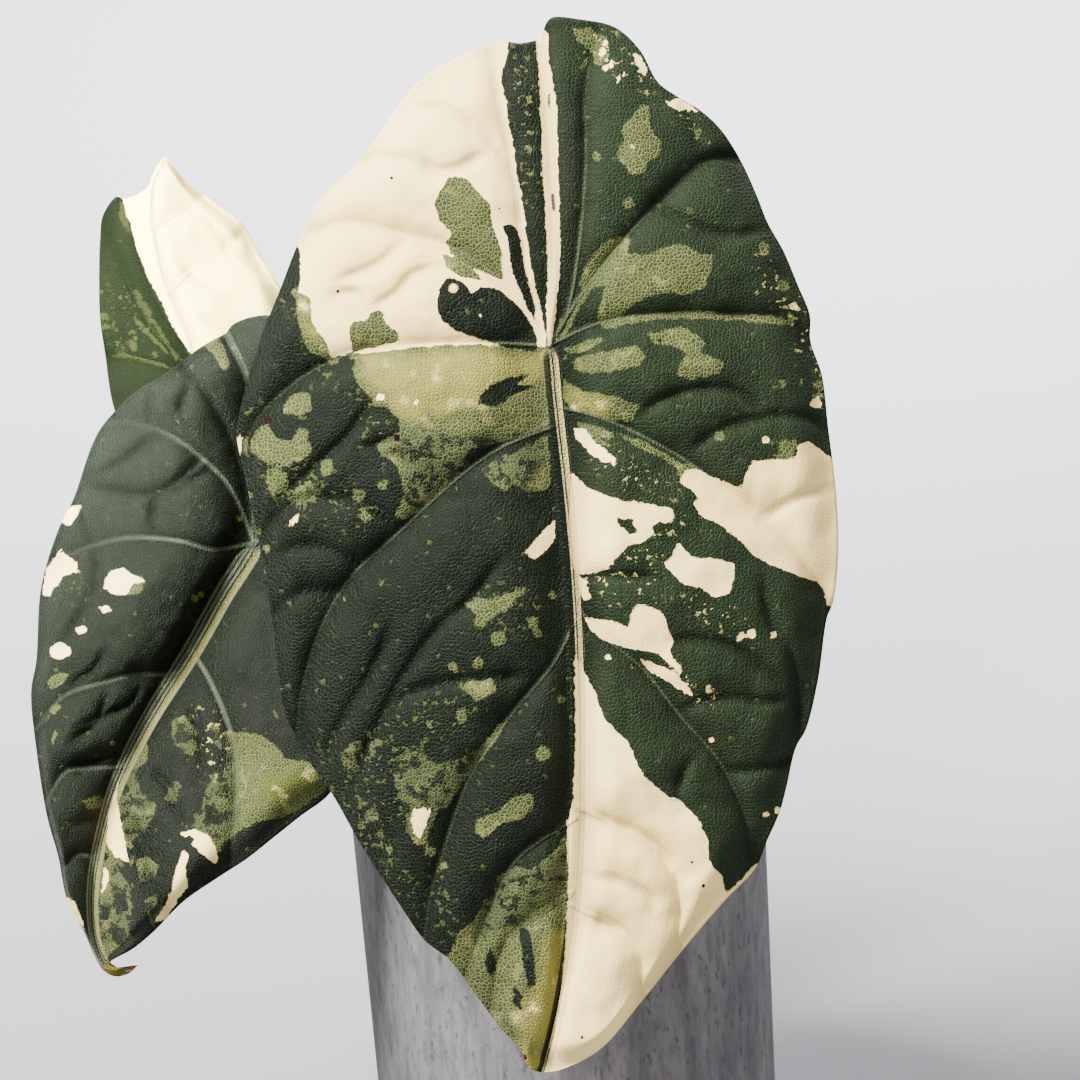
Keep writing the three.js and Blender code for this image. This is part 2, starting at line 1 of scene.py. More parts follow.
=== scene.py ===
"""A potted variegated maharani alocasia: a grey pot of bark mix, a short crown, and three quilted
shield leaves, each on its own round stalk. Metres, +Z up, origin under the pot's centre.
"""
import math

import bpy
import numpy as np
from mathutils import Euler, Matrix, Vector, noise


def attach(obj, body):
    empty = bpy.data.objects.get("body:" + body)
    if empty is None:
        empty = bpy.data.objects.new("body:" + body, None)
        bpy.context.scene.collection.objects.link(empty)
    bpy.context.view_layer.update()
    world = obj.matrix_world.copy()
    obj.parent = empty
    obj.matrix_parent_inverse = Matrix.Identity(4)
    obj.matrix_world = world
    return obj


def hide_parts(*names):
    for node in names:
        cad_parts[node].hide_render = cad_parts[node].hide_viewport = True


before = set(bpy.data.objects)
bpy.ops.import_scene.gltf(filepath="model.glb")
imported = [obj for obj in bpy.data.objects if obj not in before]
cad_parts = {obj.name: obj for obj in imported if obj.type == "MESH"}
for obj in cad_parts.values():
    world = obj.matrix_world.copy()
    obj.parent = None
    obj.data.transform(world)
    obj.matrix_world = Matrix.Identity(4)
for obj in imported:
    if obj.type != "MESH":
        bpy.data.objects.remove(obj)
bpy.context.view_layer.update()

# Studio. A pale sweep of paper makes floor and background in one. A soft box high on the left in front
# lights the plant, with a weak one low on the right, a narrow one on the rear leaf and one on the sweep.
FALL = math.radians(15)
LEAN = math.radians(4)

right = Vector((math.cos(LEAN), -math.sin(LEAN) * math.sin(FALL), -math.sin(LEAN) * math.cos(FALL)))
up = Vector((math.sin(LEAN), math.cos(LEAN) * math.sin(FALL), math.cos(LEAN) * math.cos(FALL)))
ahead = Vector((0, math.cos(FALL), -math.sin(FALL)))

camera = bpy.data.objects.new("camera", bpy.data.cameras.new("camera"))
camera.matrix_world = Matrix((right, up, -ahead)).transposed().to_4x4()
camera.location = (0.0002, -1.0019, 0.4627)
camera.data.lens = 126.67
camera.data.sensor_width = 36
camera.data.clip_start = 0.05
bpy.context.collection.objects.link(camera)
bpy.context.scene.camera = camera


def soft_box(name, place, aim, size, watts, colour=(1, 1, 1), spread=180):
    light = bpy.data.objects.new(name, bpy.data.lights.new(name, "AREA"))
    light.data.size = size
    light.data.spread = math.radians(spread)
    light.data.energy = watts
    light.data.color = colour
    light.location = place
    light.rotation_euler = (Vector(aim) - Vector(place)).to_track_quat("-Z", "Y").to_euler()
    bpy.context.collection.objects.link(light)


soft_box("key", (-0.72, -0.58, 1.25), (0, -0.05, 0.22), 0.42, 118, (1, 0.985, 0.96))
soft_box("fill", (1.15, -0.95, 0.55), (0, 0, 0.2), 0.9, 10, (0.97, 0.985, 1))
soft_box("rear_light", (-0.75, -0.5, 0.55), (-0.13, 0.04, 0.28), 0.1, 0.72, spread=14)
soft_box("backdrop_light", (0.3, 0.9, 1.7), (0.3, 2.0, 0.5), 1.4, 95)

world = bpy.data.worlds.new("studio")
world.use_nodes = True
world.node_tree.nodes["Background"].inputs["Color"].default_value = (0.93, 0.95, 1, 1)
world.node_tree.nodes["Background"].inputs["Strength"].default_value = 0.4
bpy.context.scene.world = world


def mesh_object(name, vertices, faces):
    mesh = bpy.data.meshes.new(name)
    mesh.from_pydata([tuple(v) for v in vertices], [], [tuple(f) for f in faces])
    mesh.polygons.foreach_set("use_smooth", [True] * len(mesh.polygons))
    mesh.update()
    piece = bpy.data.objects.new(name, mesh)
    bpy.context.collection.objects.link(piece)
    return piece


def rgb(red, green, blue):
    """A colour as it looks, 0 to 255, for a shader."""
    shown = (red, green, blue)
    return (*(((c / 255 + 0.055) / 1.055) ** 2.4 if c > 10 else c / 3294 for c in shown), 1)


class Socket:
    """One output in a node tree. A sum on it adds Math nodes."""

    def __init__(self, graph, out):
        self.graph = graph
        self.out = out

    def math(self, operation, *terms):
        return self.graph.node("ShaderNodeMath", {"operation": operation}, dict(enumerate(terms)))

    def __add__(self, other):
        return self.math("ADD", self, other)

    def __sub__(self, other):
        return self.math("SUBTRACT", self, other)

    def __rsub__(self, other):
        return self.math("SUBTRACT", other, self)

    def __mul__(self, other):
        return self.math("MULTIPLY", self, other)

    def __truediv__(self, other):
        return self.math("DIVIDE", self, other)

    __radd__ = __add__
    __rmul__ = __mul__

    def size(self):
        return self.math("ABSOLUTE", self)

    def also(self, name):
        return Socket(self.graph, self.out.node.outputs[name])


class Graph:
    """A node tree that is written as Python."""

    def __init__(self, tree):
        self.tree = tree

    def node(self, kind, settings=None, sockets=None, out=0):
        made = self.tree.nodes.new(kind)
        for key, value in (settings or {}).items():
            setattr(made, key, value)
        for key, value in (sockets or {}).items():
            if isinstance(value, Socket):
                self.tree.links.new(value.out, made.inputs[key])
            else:
                made.inputs[key].default_value = value
        return Socket(self, made.outputs[out])

    def band(self, value, low, high):
        """0 below low, 1 above high, and smooth between."""
        sockets = {"Value": value, "From Min": low, "From Max": high}
        return self.node("ShaderNodeMapRange", {"interpolation_type": "SMOOTHSTEP"}, sockets)

    def blend(self, share, first, second):
        """Colours mixed by share: 0 is the first, 1 is the second."""
        return self.node("ShaderNodeMix", {"data_type": "RGBA"}, {0: share, 6: first, 7: second}, 2)

    def stretch(self, vector, scale):
        return self.node("ShaderNodeVectorMath", {"operation": "MULTIPLY"}, {0: vector, 1: scale})

    def clouds(self, vector, scale, detail=2.0, roughness=0.5):
        sockets = {"Vector": vector, "Scale": scale, "Detail": detail, "Roughness": roughness}
        return self.node("ShaderNodeTexNoise", None, sockets)


def new_finish(name, **constants):
    """A material, its graph, and its shader with the values that are the same all over it."""
    material = bpy.data.materials.new(name)
    material.use_nodes = True
    shader = material.node_tree.nodes["Principled BSDF"]
    for key, value in constants.items():
        shader.inputs[key.replace("_", " ")].default_value = value
    return material, Graph(material.node_tree), shader


def wire(graph, shader, colour=None, roughness=None, height=None, depth=0.0002, strength=1.0):
    if colour is not None:
        graph.tree.links.new(colour.out, shader.inputs["Base Color"])
    if roughness is not None:
        graph.tree.links.new(roughness.out, shader.inputs["Roughness"])
    if height is not None:
        sockets = {"Strength": strength, "Distance": depth, "Height": height}
        bump = graph.node("ShaderNodeBump", None, sockets)
        graph.tree.links.new(bump.out, shader.inputs["Normal"])


SWEEP_HALF_WIDTH = 3.5
SWEEP_FRONT = -2.5
SWEEP_BACK = 1.6
SWEEP_CURVE = 0.8
SWEEP_HEIGHT = 3.0
SWEEP_STEPS = 12
sweep_profile = [(SWEEP_FRONT, 0.0), (SWEEP_BACK, 0.0)]
for step in range(1, SWEEP_STEPS + 1):
    turn = math.radians(90 * step / SWEEP_STEPS)
    risen = SWEEP_CURVE - SWEEP_CURVE * math.cos(turn)
    sweep_profile.append((SWEEP_BACK + SWEEP_CURVE * math.sin(turn), risen))
sweep_profile.append((SWEEP_BACK + SWEEP_CURVE, SWEEP_HEIGHT))
sweep_points = [(x, y, z) for y, z in sweep_profile for x in (-SWEEP_HALF_WIDTH, SWEEP_HALF_WIDTH)]
sweep_faces = [(2 * i, 2 * i + 1, 2 * i + 3, 2 * i + 2) for i in range(len(sweep_profile) - 1)]
sweep = mesh_object("sweep", sweep_points, sweep_faces)
paper, g, shader = new_finish("paper_sweep", Roughness=0.95, Specular_IOR_Level=0.1)
depth = g.node("ShaderNodeSeparateXYZ", None, {0: g.node("ShaderNodeTexCoord", out="Object")}, 1)
wire(g, shader, g.blend(g.band(depth, -0.5, 1.9), (0.165, 0.165, 0.18, 1), (0.88, 0.88, 0.9, 1)))
sweep.data.materials.append(paper)

# Pot. One thrown and fired wall of unglazed grey stoneware, nearly straight, with softened rims. It is
# dragged upwards while wet, which leaves fine irregular streaks from foot to rim.
POT_HEIGHT = 0.122
POT_RIM = 0.0575
POT_FOOT = 0.0555
POT_WALL = 0.0045
POT_FLOOR = 0.006
POT_SOFTENING = 0.0014
POT_SIDES = 192


def pot_radius(height):
    return POT_FOOT + (POT_RIM - POT_FOOT) * height / POT_HEIGHT


def round_over(centre_r, centre_z, radius, start, end, steps=6):
    turns = [math.radians(start + (end - start) * i / steps) for i in range(steps + 1)]
    return [(centre_r + radius * math.cos(t), centre_z + radius * math.sin(t)) for t in turns]


def turned(name, profile, sides):
    """A shape of revolution whose profile starts and ends on the axis."""
    vertices = [(0, 0, profile[0][1])]
    for r, z in profile[1:-1]:
        vertices += [(r * math.cos(a), r * math.sin(a), z) for a in np.arange(sides) * 2 * math.pi / sides]
    vertices.append((0, 0, profile[-1][1]))
    rings = len(profile) - 2
    faces = []
    for i in range(sides):
        j = (i + 1) % sides
        faces.append((0, 1 + j, 1 + i))
        for ring in range(rings - 1):
            low, high = 1 + ring * sides, 1 + (ring + 1) * sides
            faces.append((low + i, low + j, high + j, high + i))
        last = 1 + (rings - 1) * sides
        faces.append((last + i, last + j, len(vertices) - 1))
    return mesh_object(name, vertices, faces)


inner_rim = pot_radius(POT_HEIGHT) - POT_WALL
inner_foot = pot_radius(POT_FLOOR) - POT_WALL
pot_profile = [(0, 0), (0.03, 0), (0.05, 0)]
pot_profile += round_over(POT_FOOT - POT_SOFTENING, POT_SOFTENING, POT_SOFTENING, -90, 0)
wall_top = POT_HEIGHT - POT_SOFTENING
heights = [POT_SOFTENING + (wall_top - POT_SOFTENING) * i / 24 for i in range(1, 24)]
pot_profile += [(pot_radius(z), z) for z in heights]
pot_profile += round_over(POT_RIM - POT_SOFTENING, wall_top, POT_SOFTENING, 0, 90)
pot_profile += round_over(inner_rim + POT_SOFTENING, wall_top, POT_SOFTENING, 90, 180)
pot_profile += [(inner_foot, POT_FLOOR + 0.003), (inner_foot - 0.003, POT_FLOOR), (0, POT_FLOOR)]
pot = turned("pot_shell", pot_profile, POT_SIDES)

stoneware, g, shader = new_finish("grey_stoneware", Roughness=0.8, Specular_IOR_Level=0.35)
place = g.node("ShaderNodeTexCoord", out="Object")
drag = g.clouds(g.stretch(place, (1, 1, 0.34)), 340, 5, 0.65)
wide_drag = g.clouds(g.stretch(place, (1, 1, 0.22)), 150, 4, 0.6)
fleck = g.clouds(g.stretch(place, (1, 1, 0.5)), 560, 3, 0.6)
cloud = g.clouds(place, 26, 2, 0.5)
grey = g.blend(g.band(wide_drag + cloud * 0.5, 0.55, 0.95), rgb(86, 83, 85), rgb(112, 108, 110))
grey = g.blend(g.band(drag, 0.46, 0.66) * 0.5, grey, rgb(66, 64, 69))
grey = g.blend(g.band(fleck, 0.57, 0.7) * 0.6, grey, rgb(42, 41, 45))
wire(g, shader, grey, 0.78 + 0.14 * drag, drag + fleck * 0.6, 0.0004, 0.7)
pot.data.materials.append(stoneware)
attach(pot, "root")
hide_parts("pot")

# Potting mix. Dark peat filled to below the rim and mounded to the crown, with bark chips and pale
# grains of perlite lying on it as they fell.
SOIL_LEVEL = 0.108
SOIL_MOUND = 0.004
SOIL_BASE = 0.0063
SOIL_EDGE = pot_radius(SOIL_LEVEL) - POT_WALL - 0.0003
CRUMBS_FROM = 0.1


def mound_height(x, y):
    out = math.hypot(x, y) / SOIL_EDGE
    wave = math.sin(310 * x + 1.3) * math.sin(270 * y) + 0.6 * math.sin(710 * x - 630 * y)
    crumb = noise.noise(Vector((x, y, 0)) * 260) + 0.5 * noise.noise(Vector((x, y, 3)) * 700)
    return SOIL_LEVEL + SOIL_MOUND * (1 - out**2) + 0.0009 * wave + 0.0009 * crumb


soil_profile = [(0, SOIL_BASE), (0.03, SOIL_BASE), (SOIL_EDGE - 0.006, SOIL_BASE)]
soil_profile += [(SOIL_EDGE, 0.02), (SOIL_EDGE, SOIL_LEVEL)]
soil_profile += [(SOIL_EDGE * i / 56, SOIL_LEVEL + 0.001) for i in range(55, -1, -1)]
mix = turned("potting_mix", soil_profile, 144)
for v in mix.data.vertices:
    if v.co.z > SOIL_LEVEL - 0.0001:
        v.co.z = mound_height(v.co.x, v.co.y)


def geometry_tree(name, **inputs):
    """A geometry tree with named inputs, its graph, and its incoming sockets by name."""
    tree = bpy.data.node_groups.new(name, "GeometryNodeTree")
    tree.interface.new_socket("Geometry", in_out="INPUT", socket_type="NodeSocketGeometry")
    for key, value in inputs.items():
        kind = "NodeSocketInt" if isinstance(value, int) else "NodeSocketFloat"
        tree.interface.new_socket(key, in_out="INPUT", socket_type=kind).default_value = value
    tree.interface.new_socket("Geometry", in_out="OUTPUT", socket_type="NodeSocketGeometry")
    graph = Graph(tree)
    entry = graph.node("NodeGroupInput")
    return tree, graph, entry


def close_tree(graph, geometry, material):
    whole = graph.node("GeometryNodeRealizeInstances", None, {"Geometry": geometry})
    dressed = graph.node("GeometryNodeSetMaterial", None, {"Geometry": whole, "Material": material})
    last = graph.tree.nodes.new("NodeGroupOutput")
    graph.tree.links.new(dressed.out, last.inputs["Geometry"])


def grown(name, source, tree, **inputs):
    """A plain mesh from what the tree makes of the source piece."""
    modifier = source.modifiers.new("grow", "NODES")
    modifier.node_group = tree
    sockets = {item.name: item.identifier for item in tree.interface.items_tree if item.in_out == "INPUT"}
    for key, value in inputs.items():
        modifier[sockets[key]] = value
    held = source.evaluated_get(bpy.context.evaluated_depsgraph_get())
    mesh = bpy.data.meshes.new_from_object(held)
    source.modifiers.remove(modifier)
    mesh.polygons.foreach_set("use_smooth", [True] * len(mesh.polygons))
    piece = bpy.data.objects.new(name, mesh)
    bpy.context.collection.objects.link(piece)
    return piece


def crumb_tree(name, material):
    """Lumps strewn over the top: a rough block or ball each, turned and sized at random."""
    tree, g, entry = geometry_tree(
        name, Density=9000.0, Smallest=0.002, Largest=0.007, Flatness=0.5, Reach=0.05, Seed=1
    )
    where = g.node("GeometryNodeInputPosition")
    lying = g.node("ShaderNodeSeparateXYZ", None, {0: where}, 2)
    out = g.node("ShaderNodeVectorMath", {"operation": "LENGTH"}, {0: g.stretch(where, (1, 1, 0))}, "Value")
    on_top = lying.math("GREATER_THAN", lying, CRUMBS_FROM) * out.math("LESS_THAN", out, entry.also("Reach"))
    spread = g.node(
        "GeometryNodeDistributePointsOnFaces",
        {"distribute_method": "POISSON"},
        {
            "Mesh": entry,
            "Selection": on_top,
            "Distance Min": entry.also("Smallest"),
            "Density Max": entry.also("Density"),
            "Seed": entry.also("Seed"),
        },
    )
    lump = g.node("GeometryNodeMeshIcoSphere", None, {"Radius": 0.5, "Subdivisions": 2})
    turn = g.node(
        "FunctionNodeRandomValue",
        {"data_type": "FLOAT_VECTOR"},
        {0: (-0.6, -0.6, 0), 1: (0.6, 0.6, 6.28), "Seed": entry.also("Seed")},
    )
    size = g.node(
        "FunctionNodeRandomValue",
        {"data_type": "FLOAT"},
        {2: entry.also("Smallest"), 3: entry.also("Largest"), "Seed": entry.also("Seed") + 7},
        1,
    )
    longer = g.node("FunctionNodeRandomValue", {"data_type": "FLOAT"}, {2: 0.55, 3: 1.0, "Seed": 19}, 1)
    box = g.node(
        "ShaderNodeCombineXYZ", None, {0: size, 1: size * longer, 2: size * entry.also("Flatness")}
    )
    strewn = g.node(
        "GeometryNodeInstanceOnPoints",
        None,
        {"Points": spread, "Instance": lump, "Rotation": turn, "Scale": box},
    )
    tone = g.node("FunctionNodeRandomValue", {"data_type": "FLOAT"}, {2: 0.0, 3: 1.0, "Seed": 5}, 1)
    toned = g.node(
        "GeometryNodeStoreNamedAttribute",
        {"domain": "INSTANCE", "data_type": "FLOAT"},
        {"Geometry": strewn, "Name": "tone", "Value": tone},
    )
    loose = g.node("GeometryNodeRealizeInstances", None, {"Geometry": toned})
    lumpy = g.node("ShaderNodeTexNoise", None, {"Vector": where, "Scale": 260.0, "Detail": 2.0}, "Color")
    centred = g.node("ShaderNodeVectorMath", {"operation": "SUBTRACT"}, {0: lumpy, 1: (0.5, 0.5, 0.5)})
    push = g.node("ShaderNodeVectorMath", {"operation": "MULTIPLY"}, {0: centred, 1: (0.004, 0.004, 0.003)})
    rough = g.node("GeometryNodeSetPosition", None, {"Geometry": loose, "Offset": push})
    close_tree(g, rough, material)
    return tree


peat, g, shader = new_finish("peat", Roughness=0.95, Specular_IOR_Level=0.2)
place = g.node("ShaderNodeTexCoord", out="Object")
crumbs = g.clouds(place, 480, 4, 0.65)
brown = g.blend(g.band(crumbs, 0.35, 0.65), rgb(38, 27, 20), rgb(86, 66, 49))
wire(g, shader, brown, 0.85 + 0.12 * crumbs, crumbs, 0.0012)
mix.data.materials.append(peat)

bark, g, shader = new_finish("bark_chip", Roughness=0.85, Specular_IOR_Level=0.3)
place = g.node("ShaderNodeTexCoord", out="Object")
tone = g.node("ShaderNodeAttribute", {"attribute_name": "tone"}, None, "Fac")
grain = g.clouds(g.stretch(place, (1, 0.35, 1)), 900, 3, 0.6)
chip_brown = g.blend(tone, rgb(70, 45, 30), rgb(150, 108, 74))
chip_brown = g.blend(g.band(grain, 0.4, 0.62) * 0.6, chip_brown, rgb(48, 33, 24))
wire(g, shader, chip_brown, 0.75 + 0.2 * grain, grain, 0.0006)

perlite, g, shader = new_finish("perlite", Roughness=0.9, Specular_IOR_Level=0.3)
place = g.node("ShaderNodeTexCoord", out="Object")
pores = g.clouds(place, 1500, 2, 0.6)
white = g.blend(g.band(pores, 0.35, 0.6), rgb(176, 168, 154), rgb(233, 230, 222))
wire(g, shader, white, 0.8 + 0.15 * pores, pores, 0.0005)

bark_tree = crumb_tree("strewn_bark", bark)
perlite_tree = crumb_tree("strewn_perlite", perlite)
chips = grown(
    "bark_chips", mix, bark_tree, Density=16000.0, Smallest=0.0035, Largest=0.010, Reach=0.0472, Seed=3
)
grains = grown(
    "perlite_grains",
    mix,
    perlite_tree,
    Density=5000.0,
    Smallest=0.0015,
    Largest=0.0036,
    Flatness=0.9,
    Seed=8,
)
for piece in (mix, chips, grains):
    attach(piece, "root")
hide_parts("soil")

# Crown. The short thick stem that carries the stalks, ringed by the scars of shed leaves, with dry
# brown rags of old sheath left on it.
CROWN_RADIUS = 0.0115
CROWN_BASE = SOIL_LEVEL + SOIL_MOUND
crown_profile = [(0, CROWN_BASE - 0.016), (CROWN_RADIUS - 0.003, CROWN_BASE - 0.016)]
crown_profile.append((CROWN_RADIUS, CROWN_BASE - 0.011))
for i in range(45):
    share = i / 44
    ring = 0.5 - 0.5 * math.cos(share * 4 * 2 * math.pi)
    radius = CROWN_RADIUS - 0.0032 * share - 0.0010 * (1 - ring) * (0.4 + 0.6 * share)
    if share > 0.8:
        radius -= 0.0045 * ((share - 0.8) / 0.2) ** 2
    crown_profile.append((radius, CROWN_BASE + 0.001 + 0.0128 * share))
crown_profile.append((0, CROWN_BASE + 0.0145))
crown = turned("crown_stem", crown_profile, 96)
for v in crown.data.vertices:
    wobble = noise.noise(v.co * 160) * 0.0007
    out = Vector((v.co.x, v.co.y, 0)).normalized() if v.co.xy.length > 0.001 else Vector()
    v.co += out * (wobble - 0.0004)

stem, g, shader = new_finish("old_stem", Roughness=0.75)
place = g.node("ShaderNodeTexCoord", out="Object")
fibre = g.clouds(g.stretch(place, (1, 1, 0.16)), 700, 4, 0.6)
blotch = g.clouds(place, 110, 3, 0.55)
tan = g.blend(g.band(blotch, 0.4, 0.6), rgb(120, 112, 70), rgb(134, 100, 62))
tan = g.blend(g.band(fibre, 0.48, 0.6) * 0.7, tan, rgb(72, 50, 32))
wire(g, shader, tan, 0.65 + 0.3 * fibre, fibre, 0.0006)
crown.data.materials.append(stem)
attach(crown, "root")
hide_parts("crown")

# Stalks. Each leaf has one round, fleshy stalk, pale green with darker mottled streaks. It clasps the
# crown with a widened foot and runs into the ribs under its blade, where they meet.
STALKS = {
    "front": (
        0.0043,
        0.0027,
        [(4.5, -3, 116), (5, -6, 132), (5, -15, 165), (5.5, -32, 215), (6, -50, 249), (5.9, -61, 259.5)],
        (5.6, -71.7, 263.6),
        (-2, -48.8, 950),
    ),
    "side": (
        0.0038,
        0.0024,
        [(-5.5, -1.5, 116), (-9, 0, 130), (-22, 3, 155), (-44, 4, 181), (-64, 3, 195), (-73, -1, 199.5)],
        (-76.6, -9.7, 201.5),
        (77, 0.8, 1026),
    ),
    "rear": (
        0.0033,
        0.002,
        [(-2.5, 6.5, 116), (-5, 10, 130), (-22, 22, 162), (-50, 37, 199), (-77, 47, 225), (-88, 46.5, 233.5)],
        (-93, 39.3, 237.5),
        (96.6, -45.4, 1064),
    ),
}
STALK_SINK = 1.6

fleshy, g, shader = new_finish("leaf_stalk", Roughness=0.42)
place = g.node("ShaderNodeTexCoord", out="Object")
along = g.node("ShaderNodeAttribute", {"attribute_name": "along"}, None, "Fac")
streak = g.clouds(g.stretch(place, (1, 1, 0.22)), 620, 4, 0.6)
mottle = g.clouds(g.stretch(place, (1, 1, 0.5)), 150, 3, 0.6)
stalk_green = g.blend(g.band(mottle, 0.4, 0.62), rgb(142, 152, 108), rgb(112, 126, 86))
stalk_green = g.blend(g.band(streak, 0.52, 0.62) * 0.65, stalk_green, rgb(74, 86, 62))
stalk_green = g.blend(g.band(along, 0.12, 0.0) * 0.6, stalk_green, rgb(168, 140, 112))
wire(g, shader, stalk_green, 0.36 + 0.2 * streak, streak, 0.0003, 0.6)

stalk_tree, g, entry = geometry_tree("leaf_stalk", Foot=0.004, Top=0.0025, Sides=28, Steps=120)
even = g.node("GeometryNodeResampleCurve", None, {"Curve": entry, "Count": entry.also("Steps")})
run = g.node("GeometryNodeSplineParameter")
sheath = 1 - g.band(run, 0.0, 0.28)
slim = 0.45 * (1 - run)
widened = sheath.math("MAXIMUM", sheath, slim)
swell = 1 + 0.16 * g.band(run, 0.93, 1.0)
radius = (entry.also("Top") + widened * (entry.also("Foot") - entry.also("Top"))) * swell
marked = g.node(
    "GeometryNodeStoreNamedAttribute",
    {"domain": "POINT", "data_type": "FLOAT"},
    {"Geometry": even, "Name": "along", "Value": run},
)
ring = g.node("GeometryNodeCurvePrimitiveCircle", None, {"Resolution": entry.also("Sides"), "Radius": 1.0})
skin = g.node(
    "GeometryNodeCurveToMesh",
    None,
    {"Curve": marked, "Profile Curve": ring, "Scale": radius, "Fill Caps": True},
)
close_tree(g, skin, fleshy)


def stalk_path(name, points):
    curve = bpy.data.curves.new(name, "CURVE")
    curve.dimensions = "3D"
    spline = curve.splines.new("POLY")
    spline.points.add(len(points) - 1)
    for point, place in zip(spline.points, points):
        point.co = (*place, 1)
    path = bpy.data.objects.new(name, curve)
    bpy.context.collection.objects.link(path)
    return path


class Line:
    """A smooth line through points, walked by its share of length."""

    def __init__(self, points):
        p = np.array(points, float)
        ends = np.vstack([2 * p[0] - p[1], p, 2 * p[-1] - p[-2]])
        gaps = np.maximum(np.linalg.norm(np.diff(ends, axis=0), axis=1) ** 0.5, 1e-4)
        t = np.linspace(0, 1, 25)[:-1, None]
        runs = []
        for i in range(len(p) - 1):
            a, b, c, d = ends[i : i + 4]
            before, here, after = gaps[i : i + 3]
            leave = ((b - a) / before - (c - a) / (before + here) + (c - b) / here) * here
            arrive = ((c - b) / here - (d - b) / (here + after) + (d - c) / after) * here
            curl = 3 * (c - b) - 2 * leave - arrive
            runs.append(b + leave * t + curl * t**2 + (2 * (b - c) + leave + arrive) * t**3)
        self.points = np.vstack([*runs, p[-1:]])
        steps = np.linalg.norm(np.diff(self.points, axis=0), axis=1)
        walked = np.concatenate([[0], np.cumsum(steps)])
        self.length = walked[-1]
        self.share = walked / self.length

    def at(self, share):
        axes = range(self.points.shape[1])
        return np.stack([np.interp(share, self.share, self.points[:, i]) for i in axes], axis=-1)

    def nearest(self, place):
        return self.share[np.argmin(np.linalg.norm(self.points - np.array(place), axis=1))]


# How a blade's own plane stands: x to the right, y up, facing the eye that measured it.
plane_turn = Euler((math.radians(90) - FALL, 0, 0)).to_matrix() @ Euler((0, 0, -LEAN)).to_matrix()

for key, (foot, top, route, hub, eye) in STALKS.items():
    inward = plane_turn @ Vector(eye).normalized()
    end = Vector(hub) - inward * STALK_SINK
    walk = Line([*route, tuple(end)]).at(np.linspace(0, 1, 160)) / 1000
    path = stalk_path(f"stalk_path_{key}", walk)
    stalk = grown(f"stalk_{key}", path, stalk_tree, Foot=foot, Top=top)
    bpy.data.objects.remove(path)
    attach(stalk, "root")
    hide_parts(f"petiole_{key}")

# Front blade. The largest leaf: a leathery shield, sunken along its veins and puffed up between them.
# Cream and pale green sectors run out from the veins, with ragged edges that follow its finest net.
BLADE_THICKNESS = 1.0
MARGIN_THICKNESS = 0.75
RIB_HEIGHT = 2.2
RIB_HALF_WIDTH = 2.6
RIB_TAPER = 0.8
VEIN_CUT = 0.8
PANEL_RISEN = 0.2
PANEL_SINKS = 0.8
PANEL_SINKING = 0.45


def smooth(value, low, high):
    t = np.clip((value - low) / (high - low), 0, 1)
    return t * t * (3 - 2 * t)


def stretches(points, count=24):
    return Line(points).at(np.linspace(0, 1, count + 1))


def distance(places, line):
    """How far each place is from a run of straight stretches."""
    away = np.full(len(places), np.inf)
    for a, b in zip(line[:-1], line[1:]):
        run = b - a
        along = np.clip((places - a) @ run / max(run @ run, 1e-12), 0, 1)
        away = np.minimum(away, np.linalg.norm(places - a - along[:, None] * run, axis=1))
    return away


def inward_of(places, ring):
    """How far each place is inside a closed outline; outside it the distance is negative."""
    closed = np.vstack([ring, ring[:1]])
    within = np.zeros(len(places), bool)
    x, y = places.T
    for (ax, ay), (bx, by) in zip(closed[:-1], closed[1:]):
        crosses = (ay > y) != (by > y)
        if ay != by:
            within ^= crosses & (x < ax + (y - ay) * (bx - ax) / (by - ay))
    return np.where(within, 1, -1) * distance(places, closed)


def inward_of_any(places, rings, step):
    """The same for many outlines. An outline is a list of places, a round spot is x, y and radius."""
    deepest = np.full(len(places), -50.0)
    for ring in rings:
        if isinstance(ring, tuple):
            x, y, radius = np.array(ring) * step
            here = radius - np.hypot(places[:, 0] - x, places[:, 1] - y)
        else:
            here = inward_of(places, np.array(ring) * step)
        deepest = np.maximum(deepest, here)
    return deepest


MARKS = ("cream", "pale", "over", "dark", "warm", "veil", "lace")
OVERLAP = 2.5
PALE_UNDER_CREAM = 1.5


def midrib_stations(leaf):
    """Where rows start along the midrib: at each vein's start, and between them as close together as
    the margin that they fan out to asks for."""
    rib = Line(leaf["midrib"])
    sides = (leaf["right"], leaf["left"])
    starts = sorted({0.0, 1.0, *(rib.nearest(vein[0]) for side in sides for vein in side["rib_veins"])})
    lengths = [np.diff(starts) * rib.length]
    for side in sides:
        margin = Line(side["margin"])
        known = [0.0, *(rib.nearest(vein[0]) for vein in side["rib_veins"]), 1.0]
        ends = [vein[-1] for vein in (side["hub_veins"][-1], *side["rib_veins"])]
        reach = [*(margin.nearest(end) for end in ends), 1.0]
        lengths.append(np.diff(np.interp(starts, known, reach)) * margin.length)
    counts = np.maximum(1, np.round(np.max(lengths, axis=0) / leaf["row_gap"])).astype(int)
    parts = [np.linspace(a, b, n + 1)[:-1] for a, b, n in zip(starts, starts[1:], counts)]
    return np.concatenate([*parts, [1.0]])


